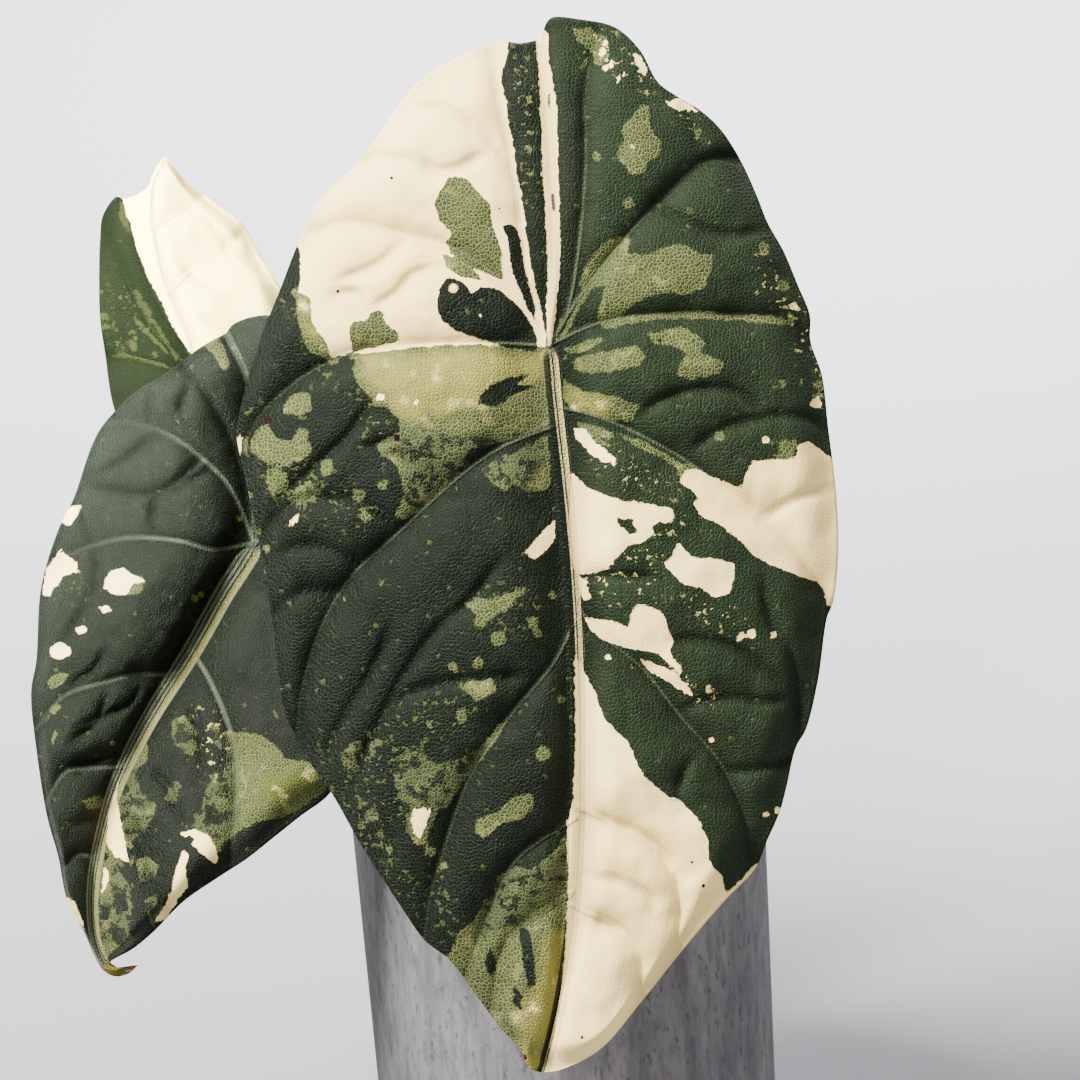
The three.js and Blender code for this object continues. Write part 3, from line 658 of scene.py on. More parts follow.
def fan_rows(leaf, side, stations):
    """Plane points over one side of a blade: rows from the hub or the midrib out to the margin, the
    main veins being rows themselves. Gives places and how far across each lies."""
    margin, rib = Line(side["margin"]), Line(leaf["midrib"])
    ends = [0.0, *(margin.nearest(vein[-1]) for vein in side["hub_veins"])]
    panels = np.maximum(6, np.round(np.diff(ends) * margin.length / leaf["row_gap"])).astype(int)
    hub_rows = panels.sum()
    last = hub_rows + len(stations) - 1
    share = np.linspace(0, 1, leaf["columns"] + 1) ** 1.3

    def guide(row, points):
        path = Line(points)
        reach = {0: 0.0, last: 1.0}.get(row, margin.nearest(path.points[-1]))
        bulge = path.at(share) - (path.points[0] + share[:, None] * (path.points[-1] - path.points[0]))
        return row, bulge, reach

    guides = [guide(0, leaf["rear_line"])]
    guides += [guide(row, vein) for row, vein in zip(np.cumsum(panels), side["hub_veins"])]
    for vein in side["rib_veins"]:
        start = rib.nearest(vein[0])
        guides.append(guide(hub_rows + int(np.argmin(np.abs(stations - start))), vein))
    guides.append((last, np.zeros((len(share), 2)), 1.0))

    places, across = [], []
    for row in range(last + 1):
        after = next(i for i, g in enumerate(guides) if g[0] >= max(row, 1))
        (row_a, bulge_a, reach_a), (row_b, bulge_b, reach_b) = guides[after - 1], guides[after]
        blend = (row - row_a) / (row_b - row_a)
        station = 0.0 if row <= hub_rows else stations[row - hub_rows]
        start, end = rib.at(station), margin.at(reach_a + (reach_b - reach_a) * blend)
        places.append(start + share[:, None] * (end - start) + bulge_a * (1 - blend) + bulge_b * blend)
        near_tip = smooth(station, 0.85, 1)
        across.append(share + (1 - share) * near_tip)
    return np.array(places), np.array(across)


def blade(name, leaf, material):
    """A blade as one closed piece: both faces from the same rows, joined round the margin."""
    stations = midrib_stations(leaf)
    spine = np.vstack([stretches(leaf["rear_line"])[::-1], stretches(leaf["midrib"], 60)])
    sides = (leaf["right"], leaf["left"])
    veins = [stretches(v) for side in sides for v in (*side["hub_veins"], *side["rib_veins"])]
    twigs = [stretches(np.array(t) * leaf["step"], 14) for t in leaf["twigs"]]
    eye = np.array(leaf["eye"], float)
    puff, groove, midrib_groove = leaf["relief"]
    tops, unders, faces, notes = [], [], [], []
    count = 0
    grids = [fan_rows(leaf, side, stations) for side in sides]
    total = sum(across.size for _, across in grids)
    for (grid, across), sign in zip(grids, (1, -1)):
        rows, columns = across.shape
        flat, far = grid.reshape(-1, 2), across.ravel()
        along = np.linalg.norm(grid - grid[:, :1], axis=2).ravel()
        apart = np.repeat(np.arange(rows) * leaf["row_gap"], columns)
        from_spine = distance(flat, spine)
        on_spine = np.zeros((rows, columns), bool)
        on_spine[0] = on_spine[:, 0] = True
        from_spine[on_spine.ravel()] = 0
        from_veins = np.array([distance(flat, v) for v in veins])
        panel = 1 - np.exp(-from_spine / midrib_groove)
        panel *= np.prod(1 - VEIN_CUT * np.exp(-from_veins / groove), axis=0)
        fade = smooth(far, 0, PANEL_RISEN) * (1 - PANEL_SINKING * smooth(far, PANEL_SINKS, 1))
        crest = panel * fade
        from_twig = np.full(len(flat), 60.0)
        cut = np.zeros(len(flat))
        for twig in twigs:
            away = distance(flat, twig)
            from_twig = np.minimum(from_twig, away)
            ends = np.minimum(np.hypot(*(flat - twig[0]).T), np.hypot(*(flat - twig[-1]).T))
            cut = np.maximum(cut, np.exp(-away / leaf["twig_width"]) * smooth(ends, -2, 5))
        ripple = np.array([noise.noise(Vector((x, y, 0)) * 0.09) for x, y in flat])
        ripple += 0.5 * np.array([noise.noise(Vector((x, y, 7)) * 0.23) for x, y in flat])
        height = leaf["form"](flat[:, 0], flat[:, 1], sign * from_spine, far)
        height += puff * crest + (0.8 * ripple - leaf["twig_depth"] * cut) * smooth(from_spine, 0, 9)
        tipwards = np.clip(flat[:, 1] / leaf["midrib"][-1][1], 0, 1)
        cord = leaf["cord"] * (1 - 0.7 * tipwards) * np.exp(-((from_spine / 1.3) ** 2))
        height += cord * (1 - 0.9 * smooth(far, 0.75, 1))
        nearest = np.minimum(from_spine, from_veins.min(axis=0))
        rib = RIB_HEIGHT * np.exp(-((nearest / RIB_HALF_WIDTH) ** 2)) * (1 - RIB_TAPER * far)
        rib += 0.35 * np.exp(-((from_twig / 1.1) ** 2)) * (1 - far)
        depth = BLADE_THICKNESS + (MARGIN_THICKNESS - BLADE_THICKNESS) * far + rib
        plane = np.column_stack([flat, np.zeros(len(flat))])
        for store, rise in ((tops, height), (unders, height - depth)):
            store.append(plane + (eye - plane) * (rise / eye[2])[:, None])
        marks = {key: inward_of_any(flat, leaf[key], leaf["step"]) for key in MARKS}
        over, dark = marks.pop("over"), marks.pop("dark")
        patch = np.maximum(over, np.minimum(over + OVERLAP, marks["cream"]))
        marks["cream"] = np.minimum(marks["cream"], -np.maximum(dark, over))
        shared = np.minimum(marks["pale"], marks["cream"]) + PALE_UNDER_CREAM
        marks["pale"] = np.minimum(np.maximum(np.maximum(marks["pale"], shared), patch), -dark)
        drawn = [i for i in range(len(veins)) if i not in leaf["faint"]]
        marks.update(rib=sign * from_spine, vein=from_veins[drawn].min(axis=0), twig=from_twig, crest=crest)
        marks.update(across=far, leaf_x=flat[:, 0], leaf_y=flat[:, 1], weave_x=along, weave_y=apart * sign)
        notes.append(marks)
        turn = -sign if leaf["midrib"][-1][1] < 0 else sign
        index = count + np.arange(rows * columns).reshape(rows, columns)
        a, b, c, d = index[:-1, :-1], index[:-1, 1:], index[1:, 1:], index[1:, :-1]
        quads = np.stack([a, b, c, d], axis=-1).reshape(-1, 4)
        edge = np.column_stack([index[:-1, -1], index[:-1, -1] + total, index[1:, -1] + total, index[1:, -1]])
        for block in (quads, quads[:, ::-1] + total, edge):
            faces.append(block if turn > 0 else block[:, ::-1])
        count += rows * columns
    points = np.vstack([*tops, *unders])
    notes = {key: np.tile(np.concatenate([side[key] for side in notes]), 2) for key in notes[0]}
    notes["under"] = np.repeat([0.0, 1.0], len(points) // 2)
    keys, first, merged = np.unique(np.round(points / 0.004), axis=0, return_index=True, return_inverse=True)
    faces = merged.ravel()[np.vstack(faces)]
    turned_points = points[first] @ np.array(plane_turn).T + np.array(leaf["hub"])
    polygons = []
    for face in faces.tolist():
        ring = [v for i, v in enumerate(face) if v != face[i - 1]]
        if len(set(ring)) > 2:
            polygons.append(ring)
    piece = mesh_object(name, turned_points / 1000, polygons)
    for key, values in notes.items():
        note = piece.data.attributes.new(key, "FLOAT", "POINT")
        note.data.foreach_set("value", values[first].astype(np.float32))
    piece.data.materials.append(material)
    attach(piece, "root")
    return piece


def blade_finish(name, tint, dots=(), gloss=0.06):
    """Leaf skin. Its finest net of veins is part of the bump, and the markings have ragged edges. What
    feeds the bump is kept short, because it is worked out three times over."""
    material, g, shader = new_finish(
        name, Specular_IOR_Level=gloss, Sheen_Weight=tint["bloom"], Sheen_Roughness=0.4
    )
    note = lambda key: g.node("ShaderNodeAttribute", {"attribute_name": key}, None, "Fac")
    rib, vein, crest, across = note("rib"), note("vein"), note("crest"), note("across")
    leaf = g.node("ShaderNodeCombineXYZ", None, {0: note("leaf_x"), 1: note("leaf_y")})
    weave = g.node("ShaderNodeCombineXYZ", None, {0: note("weave_x"), 1: note("weave_y")})
    wander = g.node("ShaderNodeTexNoise", None, {"Vector": leaf, "Scale": 0.35, "Detail": 1.0}, "Color")
    centred = g.node("ShaderNodeVectorMath", {"operation": "SUBTRACT"}, {0: wander, 1: (0.5, 0.5, 0.5)})
    bent = g.node(
        "ShaderNodeVectorMath", {"operation": "MULTIPLY_ADD"}, {0: centred, 1: (1.6, 1.6, 0), 2: leaf}
    )
    mesh_size = {"Vector": bent, "Scale": tint["net_scale"], "Randomness": 0.9}
    flat_cells = {"voronoi_dimensions": "2D"}
    cell = g.node("ShaderNodeTexVoronoi", flat_cells, mesh_size)
    edge = g.node("ShaderNodeTexVoronoi", {**flat_cells, "feature": "DISTANCE_TO_EDGE"}, mesh_size)
    ripple = g.clouds(g.stretch(weave, (0.5, 0.06, 1)), 1.0, 1, 0.5)
    chance = g.node("ShaderNodeSeparateColor", None, {0: cell.also("Color")})
    soft = g.clouds(leaf, 0.16, 4, 0.6)
    mid = g.clouds(leaf, 0.5, 3, 0.6)
    broad = g.clouds(leaf, 0.03, 2, 0.5)
    lace = g.band(note("lace") + (soft - 0.5) * 8, -1.5, 3.5)
    ragged = (chance - 0.5) * 0.3 + (soft - 0.5) * 1.5 + (mid - 0.5) * (0.9 + 2.2 * lace)
    cream = g.band(note("cream") + ragged, -0.12, 0.12)
    pale = g.band(note("pale") + ragged * 1.2, -0.25, 0.25)
    net = 1 - g.band(edge, 0.0, 0.12)
    # Painted shade: masks for darkening the colour in the twig creases and in the hollows between the puffed
    # panels.
    crease_shade = 1 - g.band(note("twig"), 0.0, 2.4)
    hollow_shade = 1 - g.band(crest, 0.08, 0.6)
    valley_shade = hollow_shade.math("MAXIMUM", hollow_shade, crease_shade * 0.75)

    # Green tissue, with painted light: another tone on the left half for how light falls there, and painted
    # shade in the creases.
    left_side = 1 - g.band(rib, -12, 14)
    # Painted light: the left half takes its own tone for how the light falls on it, darker on the front leaf
    # and lighter on the side leaf.
    dark = g.blend(left_side * 0.8 + g.band(broad, 0.35, 0.65) * 0.2, tint["dark"], tint["left_half_light"])
    dark = g.blend(net * (1 - 0.4 * left_side), dark, tint["net"])
    # Painted shade: the green darkened in the creases and hollows, more on the left half.
    dark = g.blend(valley_shade * (0.5 + 0.25 * left_side), dark, tint["valley_shade"])
    speck = g.band(chance.also("Green"), 0.965, 0.985) * g.band(soft, 0.5, 0.58)
    dark = g.blend(speck * 0.7, dark, tint["pale"])
    # Pale tissue: yellower and clouded with cream in some places, dulled and broken up in others.
    warm = g.band(note("warm") + (soft - 0.5) * 9, -1.5, 3.0)
    veil = g.band(note("veil") + (soft - 0.5) * 9, -1.5, 2.5)
    fine = g.clouds(leaf, 0.8, 3, 0.6)
    scatter = fine * 0.5 + mid * 0.7 + (chance - 0.5) * 0.1 + 0.02 * left_side
    fleck = g.band(scatter, 0.7, 0.725) * lace
    broken = g.band(g.clouds(leaf, 0.28, 3, 0.65) + (chance - 0.5) * 0.08, 0.5, 0.55)
    pale = pale * (1 - 0.9 * veil * broken)
    light = g.blend(chance.also("Blue"), tint["pale"], tint["pale_2"])
    light = g.blend(warm, light, tint["warm"])
    light = g.blend(net * (0.85 - 0.3 * warm), light, tint["pale_net"])
    cloudy = g.clouds(leaf, 0.17, 3, 0.6)
    light = g.blend(g.band(cloudy, 0.55, 0.66) * (0.2 + 0.6 * warm), light, tint["lace"])
    light = g.blend(veil * 0.45, light, tint["veil"])
    light = g.blend(g.band(cloudy, 0.65, 0.72) * warm, light, tint["warm_spot"])
    # Painted shade: the pale tissue darkened in the creases and hollows.
    light = g.blend(valley_shade * 0.3, light, tint["valley_shade"])
    ivory = g.blend(g.band(broad, 0.3, 0.7), tint["cream"], tint["cream_2"])
    # Painted shade: the cream darkened towards a shaded tan in the creases and hollows.
    ivory = g.blend(valley_shade * 0.6, ivory, tint["shaded_cream"])
    colour = g.blend(pale, dark, light)
    colour = g.blend(fleck, colour, g.blend(left_side, tint["lace"], tint["pale"]))

    # Main veins, fading outwards, and the striped cord that runs down the midrib.
    fading = 1 - g.band(across, 0.15, 0.95)
    line = (1 - g.band(vein, 0.0, tint["line"])) * (tint["line_end"] + 0.5 * fading)
    colour = g.blend(line, colour, tint["vein"])
    colour = g.blend(cream, colour, ivory)
    tipwards = note("leaf_y") * tint["tipward"]
    below_hub = g.band(tipwards, -1.0, 4.0)
    cord_x = rib / (0.35 + 0.65 * below_hub - tint["taper"] * g.band(tipwards, 0, 130)) / tint["cord_width"]
    cord = g.band(cord_x, -tint["cord_left"] - 0.1, -tint["cord_left"]) * g.band(cord_x, 1.0, 0.85)
    phase = cord_x * tint["strands"] + soft * 2.0
    strand = g.blend(g.band(phase.math("SINE", phase), -0.8, -0.1), tint["cord_dark"], tint["cord"])
    strand = g.blend(g.band(cord_x, 0.3, 0.4) * g.band(cord_x, 0.85, 0.7), strand, tint["cord_edge"])
    strand = g.blend(g.band(cord_x, tint["cord_split"] + 0.1, tint["cord_split"]), strand, tint["cord_dark"])
    strand = g.blend(below_hub, tint["vein"], strand)
    colour = g.blend(cord * (0.35 + 0.55 * below_hub) * (1 - cream * 0.6), colour, strand)
    for tone, places in dots:
        for x, y, radius in places:
            spot = {0: leaf, 1: (x, y, 0)}
            away = g.node("ShaderNodeVectorMath", {"operation": "DISTANCE"}, spot, "Value")
            colour = g.blend(1 - g.band(away + (mid - 0.5) * 1.2, radius * 0.7, radius * 1.1), colour, tone)

    # The underside, and then the relief.
    under = note("under")
    back = g.blend(g.band(broad, 0.35, 0.65), tint["under"], tint["under_2"])
    back = g.blend(pale, back, tint["under_pale"])
    back = g.blend(cream, back, tint["under_cream"])
    back = g.blend(net * 0.25, back, tint["vein"])
    raised = 1 - g.band(vein.math("MINIMUM", vein, rib.size()), 0.8, 1.8)
    back = g.blend(raised * 0.7, back, tint["under_rib"])
    colour = g.blend(under, colour, back)

    swell = g.band(edge, 0.0, 0.32)
    fold = 1 - g.band(note("twig"), 0.0, 2.3)
    thread = 1 - g.band(vein, 0.3, 1.0)
    lustre = 0.46 + 0.10 * soft + 0.06 * cream + 0.12 * under
    smoother = g.band(note("cream"), -0.3, 0.3)
    height = swell * (0.74 - 0.6 * smoother) + ripple * (1.0 - 0.6 * smoother) - fold * (1.5 - 0.5 * smoother)
    height = height + thread * fading * 1.2
    wire(g, shader, colour, lustre, height, 0.0003, 0.8)
    return material


def front_form(x, y, from_rib, across):
    bow = -13 * (from_rib / 75) ** 2
    sweep = -9 * ((y + 45) / 125) ** 2
    return bow + sweep - 2 * smooth(across, 0.78, 1) ** 2


# Outlines and veins are in millimetres from the hub, where the stalk meets the blade. Markings and
# small veins are on a finer grid from the same hub, whose step is given.
front_leaf = {
    "hub": (5.6, -71.7, 263.6),
    "eye": (-2, -48.8, 950),
    "step": 0.25,
    "rear_line": [(0, 0), (1.2, 12), (1.2, 28), (0.5, 50), (-1, 69), (-1.8, 76.5)],
    "midrib": [
        (0, 0), (1.2, -14), (3.5, -34), (5.8, -59), (7, -84), (7.2, -104), (6.8, -129), (4.2, -154),
        (1.5, -169), (-1.8, -181.8),
    ],
    "right": {
        "margin": [
            (-1.8, 76.5), (-0.5, 80.5), (1, 82), (8, 81.5), (16.8, 79.5), (23, 73.8), (27.5, 65.8),
            (33, 61.8), (38, 58.8), (43, 54.2), (48.2, 46.2), (52.2, 37.5), (55, 30.5), (58.8, 23.8),
            (62.5, 15), (65.5, 7.5), (65.6, 1.2), (68.5, -7.5), (70, -20), (72.2, -38.8), (72.5, -53.8),
            (71.2, -64.5), (69.8, -68), (67.5, -83.8), (64.5, -96), (62, -100.5), (59.5, -111),
            (58, -116.5), (54.5, -124.5), (52, -130.5), (44, -139), (33, -152), (23, -164.5), (13, -176),
            (3, -181.2), (-1.8, -181.8),
        ],
        "hub_veins": [
            [(0, 0), (4.2, 6.5), (6.8, 18.8), (9, 38.8), (9.5, 51.2), (9.2, 62), (13, 80.8)],
            [(0, 0), (10.5, 16.2), (23, 31.2), (35.5, 43.2), (41, 47), (48.2, 46.2)],
            [(0, 0), (13, 5.8), (28, 7.8), (48, 7.5), (58, 6.8), (65.6, 1.2)],
        ],
        "rib_veins": [
            [(1.4, -15), (13, -18), (28, -25), (41.8, -33.8), (58, -46.2), (71.2, -64.5)],
            [(6.2, -63.8), (13, -72), (23, -80), (33, -92.5), (43, -104.2), (49.2, -117.5), (52, -130.5)],
            [(7.1, -115), (18, -120.8), (30, -128.8), (33, -143), (30.5, -155)],
            [(6, -140), (19.2, -147.5), (23, -153.5), (23, -164.5)],
        ],
    },
    "left": {
        "margin": [
            (-1.8, 76.5), (-7, 75.5), (-12, 76), (-22, 72.2), (-32, 66.2), (-38.2, 58.8), (-47, 46.2),
            (-57, 36.2), (-62.2, 26.2), (-66.8, 14.5), (-72.5, 0), (-75.5, -10), (-77.8, -22),
            (-76.2, -31), (-74, -41.2), (-71.5, -53.2), (-69, -68.8), (-66.8, -86.8), (-65, -94.2),
            (-61, -102.2), (-54, -112.2), (-47, -124.5), (-37, -140), (-30.8, -148.8), (-24.5, -153.8),
            (-17, -163.8), (-12, -170.5), (-6.6, -176.4), (-5.6, -179.2), (-4.2, -181), (-1.8, -181.8),
        ],
        "hub_veins": [
            [(0, 0), (-5.2, 18.8), (-7.2, 36.2), (-10, 51.2), (-12.5, 63.8), (-14.5, 75)],
            [(0, 0), (-7, 11.2), (-13.2, 17.5), (-22, 23.8), (-37, 28.2), (-52, 30.8), (-62.2, 26.2)],
            [(0, 0), (-17, 0.8), (-37, 0), (-50.8, -2.5), (-62, -8.2), (-72, -17.5), (-77, -27.5)],
        ],
        "rib_veins": [
            [
                (1.8, -20), (-12, -25.5), (-22, -32.5), (-38.2, -47.5), (-49.5, -58), (-57, -71.2),
                (-61.5, -86.2), (-62.8, -98.5),
            ],
            [
                (6.4, -69.5), (1.8, -78.8), (-9.5, -92.5), (-19.5, -107.5), (-25.8, -125),
                (-29.5, -137.5), (-31, -148.5),
            ],
            [(7.1, -118), (-8.2, -128.8), (-15, -142.5), (-21, -158.5)],
            [(6, -137), (-4.5, -143.8), (-10.8, -150), (-14.5, -167)],
        ],
    },
    "faint": (),
    "columns": 78,
    "relief": (5.8, 4.6, 3.0),
    "form": front_form,
    "cord": 1.3,
    "twig_depth": 2.2,
    "twig_width": 2.1,
    "row_gap": 1.3,
    "twigs": [
        [(107, 140), (152, 117), (182, 110), (220, 117)],
        [(92, -70), (112, -55), (142, -45), (172, -43), (197, -50), (217, -70)],
        [(142, -105), (172, -85), (202, -75), (232, -70), (262, -73), (278, -85)],
        [(212, -175), (252, -152), (284, -143)],
        [(215, -235), (217, -255), (227, -285), (242, -305), (249, -345), (250, -395)],
        [(122, -295), (152, -295), (192, -305), (217, -325), (242, -345)],
        [(132, -365), (152, -357), (192, -353), (212, -357), (247, -352)],
        [(174, -425), (202, -425), (247, -413)],
        [(129, -454), (134, -431), (147, -409)],
        [(32, -230), (72, -231), (112, -233)],
        [(152, 184), (175, 189), (193, 184), (206, 157)],
        [(134, 239), (143, 220), (156, 193)],
        [(38, -472), (61, -477), (88, -486), (111, -504), (127, -527)],
        [(38, -531), (61, -534), (84, -541), (102, -554), (107, -572)],
        [(38, -577), (61, -581), (79, -591)],
        [(-48, 195), (-68, 215), (-108, 238), (-128, 240)],
        [(-62, 193), (-84, 180), (-112, 175), (-130, 189)],
        [(-130, 184), (-166, 189), (-193, 184)],
        [(-143, 107), (-166, 84), (-193, 71), (-212, 66)],
        [(-107, 80), (-134, 71), (-152, 52), (-175, 39)],
        [(-216, 52), (-193, 52), (-180, 39)],
        [(-178, -55), (-196, -85), (-218, -107), (-248, -135), (-278, -160)],
        [(-148, -95), (-168, -98), (-188, -102)],
        [(-93, -150), (-108, -135), (-128, -115), (-168, -105)],
        [(-153, -180), (-178, -160), (-203, -153), (-248, -155), (-273, -170), (-286, -195)],
        [(-183, -220), (-228, -200), (-273, -205)],
        [(-203, -245), (-248, -247), (-278, -270)],
        [(-48, -215), (-78, -255), (-108, -280), (-138, -320), (-153, -345), (-173, -385), (-196, -440)],
        [(-158, -275), (-163, -295), (-176, -325), (-203, -370), (-223, -410)],
        [(-18, -330), (-68, -333), (-108, -338), (-148, -352), (-163, -370)],
    ],
    "cream": [
        [
            (-40, 310), (-41, 293), (-46, 275), (-46, 260), (-42, 240), (-38, 215), (-34, 193), (-30, 167),
            (-27, 150), (-23, 125), (-20, 100), (-15, 70), (-8, 40), (-1, 7), (-3, -2), (-28, -2), (-68, 1),
            (-108, 0), (-148, -4), (-173, -7), (-198, -9), (-216, -13), (-223, 5), (-236, 23), (-239, 49),
            (-250, 53), (-248, 70), (-247, 89), (-251, 102), (-268, 110), (-308, 195), (-198, 315),
            (-98, 345),
        ],
        [
            (-12, 315), (-1, 315), (1, 285), (4, 265), (9, 235), (9, 205), (10, 165), (12, 125), (13, 95),
            (10, 55), (7, 25), (3, 0), (-1, 0), (-2, 35), (0, 75), (-2, 115), (-5, 165), (-7, 205),
            (-8, 235), (-9, 265), (-11, 290),
        ],
        [
            (26, -310), (32, -317), (39, -330), (48, -350), (56, -372), (67, -385), (80, -396), (86, -410),
            (91, -423), (100, -435), (111, -445), (132, -456), (144, -467), (153, -478), (159, -495),
            (160, -509), (166, -523), (175, -533), (177, -550), (192, -535), (209, -517), (232, -525),
            (212, -615), (102, -755), (-7, -765), (-3, -723), (5, -695), (12, -655), (17, -605), (20, -555),
            (21, -525), (19, -480), (25, -455), (27, -415), (27, -355),
        ],
        [(25, -82), (38, -84), (48, -98), (66, -111), (68, -120), (52, -116), (38, -104), (27, -93)],
        [
            (23, -125), (31, -135), (44, -144), (57, -150), (79, -157), (107, -159), (125, -163),
            (127, -176), (112, -179), (107, -190), (97, -196), (80, -201), (74, -207), (66, -217),
            (57, -225), (42, -228), (27, -229), (23, -215), (20, -175),
        ],
        [
            (132, -133), (140, -125), (150, -124), (166, -132), (193, -143), (197, -130), (204, -116),
            (225, -114), (247, -114), (250, -99), (261, -95), (270, -102), (284, -114), (302, -114),
            (302, -265), (286, -262), (280, -261), (276, -245), (270, -238), (252, -231), (229, -222),
            (204, -210), (194, -196), (179, -184), (161, -174), (149, -166), (145, -158), (151, -153),
            (142, -144), (134, -140),
        ],
        [
            (129, -195), (136, -202), (145, -213), (166, -213), (186, -218), (188, -231), (181, -249),
            (166, -252), (152, -243), (134, -238), (122, -227), (116, -218), (125, -211),
        ],
        [
            (34, -272), (42, -273), (62, -275), (80, -281), (84, -267), (89, -260), (100, -261),
            (115, -269), (120, -283), (127, -297), (121, -305), (126, -315), (136, -324), (132, -331),
            (120, -319), (112, -310), (97, -306), (77, -302), (57, -296), (44, -286),
        ],
        [(88, -311), (107, -318), (127, -327), (147, -352), (134, -345), (116, -334), (100, -325)],
        [(29, -231), (38, -236), (43, -254), (36, -256), (31, -245)],
        [(59, 308), (61, 298), (52, 286), (50, 293)],
        [(57, 279), (68, 285), (66, 277), (52, 271)],
        [(68, 268), (77, 275), (75, 266), (69, 262)],
        [(84, 296), (95, 286), (100, 268), (93, 273), (86, 284)],
        [(116, 243), (129, 247), (143, 239), (150, 234), (134, 234), (122, 239)],
        [(7, -175), (7, -195), (-2, -205), (-14, -214), (-23, -207), (-16, -198), (-5, -184)],
        [(-137, -463), (-116, -463), (-121, -477), (-129, -494), (-134, -488)],
        [(-262, -180), (-250, -168), (-249, -176), (-258, -182)],
        [(-311, -85), (-305, -90), (-308, -112), (-315, -112)],
        (-168, -52, 4), (-132, -57, 3), (84, 198, 2), (245, 40, 4), (268, -58, 5), (218, -95, 3),
        (218, -470, 3), (230, -465, 3), (203, -288, 5), (192, -292, 4), (225, -290, 4), (60, -312, 3),
        (160, -345, 3), (163, -394, 3),
    ],
    "pale": [
        [
            (93, 241), (100, 239), (102, 221), (113, 202), (111, 189), (100, 184), (95, 173), (82, 171),
            (77, 180), (69, 186), (70, 198), (77, 205), (73, 216), (82, 227),
        ],
        [
            (63, 107), (82, 107), (79, 93), (93, 89), (109, 95), (129, 102), (143, 98), (152, 91),
            (166, 91), (163, 77), (156, 59), (143, 52), (116, 52), (97, 48), (84, 39), (70, 27), (54, 25),
            (48, 27), (54, 43), (56, 59), (43, 57), (36, 52), (32, 64), (41, 84), (52, 98),
        ],
        [
            (100, 11), (134, 18), (148, 11), (159, 2), (152, -7), (163, -11), (177, -20), (170, -29),
            (143, -34), (129, -29), (134, -16), (141, -9), (125, 0), (107, 1),
        ],
        [(25, -16), (38, -11), (52, -7), (88, 0), (97, -11), (93, -20), (61, -27), (38, -27), (27, -23)],
        [(16, -4), (29, 1), (52, 8), (57, 5), (38, -4), (23, -9)],
        [(16, -34), (34, -45), (75, -54), (91, -61), (84, -75), (61, -75), (43, -68), (23, -64), (13, -52)],
        [(34, -77), (52, -82), (66, -89), (61, -95), (48, -91)],
        [(143, 218), (152, 220), (153, 209), (148, 207)],
        [(25, 316), (43, 318), (54, 305), (52, 286), (38, 298), (27, 305)],
        [
            (52, 23), (82, 29), (112, 33), (152, 34), (192, 31), (232, 28), (247, 25), (245, 19), (227, 21),
            (192, 24), (152, 27), (112, 26), (82, 22), (57, 15),
        ],
        [(67, -87), (92, -95), (114, -105), (142, -125), (147, -131), (137, -127), (112, -113), (92, -104)],
        [
            (-250, 53), (-239, 50), (-236, 23), (-223, 5), (-215, -13), (-226, -13), (-240, -3),
            (-248, 15), (-251, 35),
        ],
        [
            (-191, -7), (-148, -5), (-108, -3), (-68, -1), (-28, -5), (-3, -7), (4, -35), (8, -75),
            (-8, -83), (-28, -91), (-48, -97), (-63, -107), (-78, -120), (-93, -133), (-108, -147),
            (-123, -160), (-143, -175), (-153, -170), (-143, -150), (-146, -135), (-153, -120),
            (-163, -110), (-173, -105), (-168, -95), (-150, -87), (-148, -75), (-162, -61), (-173, -54),
            (-191, -39), (-196, -25),
        ],
        [
            (-66, -125), (-52, -114), (-30, -105), (0, -89), (3, -130), (2, -143), (-21, -146),
            (-34, -139), (-43, -148), (-55, -139),
        ],
        [(-255, -48), (-239, -48), (-237, -64), (-250, -70), (-266, -68), (-264, -59)],
        [
            (-291, -84), (-280, -79), (-273, -93), (-255, -95), (-252, -82), (-239, -86), (-241, -95),
            (-234, -104), (-246, -116), (-264, -120), (-284, -116), (-298, -107), (-299, -95),
        ],
        [(-255, -150), (-246, -134), (-230, -139), (-227, -148), (-239, -159), (-257, -157)],
        [(-228, -116), (-216, -114), (-216, -130), (-225, -134)],
        [(-283, -125), (-262, -128), (-258, -145), (-275, -150), (-284, -140)],
        [
            (-75, -254), (-52, -252), (-16, -240), (-30, -252), (-39, -263), (-55, -272), (-66, -284),
            (-75, -286), (-71, -270), (-84, -259),
        ],
        [(-87, -340), (-75, -336), (-55, -335), (-52, -345), (-71, -356), (-80, -349)],
        [(-207, -404), (-193, -397), (-187, -408), (-189, -427), (-198, -436), (-205, -420)],
        [(-182, -397), (-168, -393), (-171, -406), (-180, -415)],
        [
            (-148, -409), (-130, -400), (-121, -413), (-107, -418), (-84, -413), (-66, -400), (-48, -377),
            (-41, -375), (-52, -395), (-75, -422), (-89, -445), (-100, -463), (-116, -463), (-121, -477),
            (-130, -495), (-137, -491), (-139, -472), (-148, -454), (-155, -436), (-157, -418),
        ],
        [
            (-71, -474), (-52, -468), (-39, -456), (-30, -449), (-16, -449), (-14, -463), (-25, -472),
            (-48, -479), (-64, -495), (-75, -486),
        ],
        [(-123, -500), (-109, -504), (-114, -513), (-125, -511)],
        [
            (24, -495), (10, -502), (-3, -513), (-17, -524), (-34, -522), (-50, -530), (-55, -548),
            (-66, -560), (-76, -577), (-90, -589), (-100, -610), (-118, -615), (-68, -695), (-7, -765),
            (30, -700), (30, -520),
        ],
        [(12, 8), (16, 8), (36, 44), (56, 82), (52, 84), (30, 46)],
        (48, 189, 5), (80, 142, 6), (215, 98, 5), (236, 60, 7), (272, -40, 6), (236, -102, 7),
        (172, -91, 5), (234, -38, 4), (-50, -293, 8), (-16, -277, 5), (-10, -288, 4), (4, -250, 4),
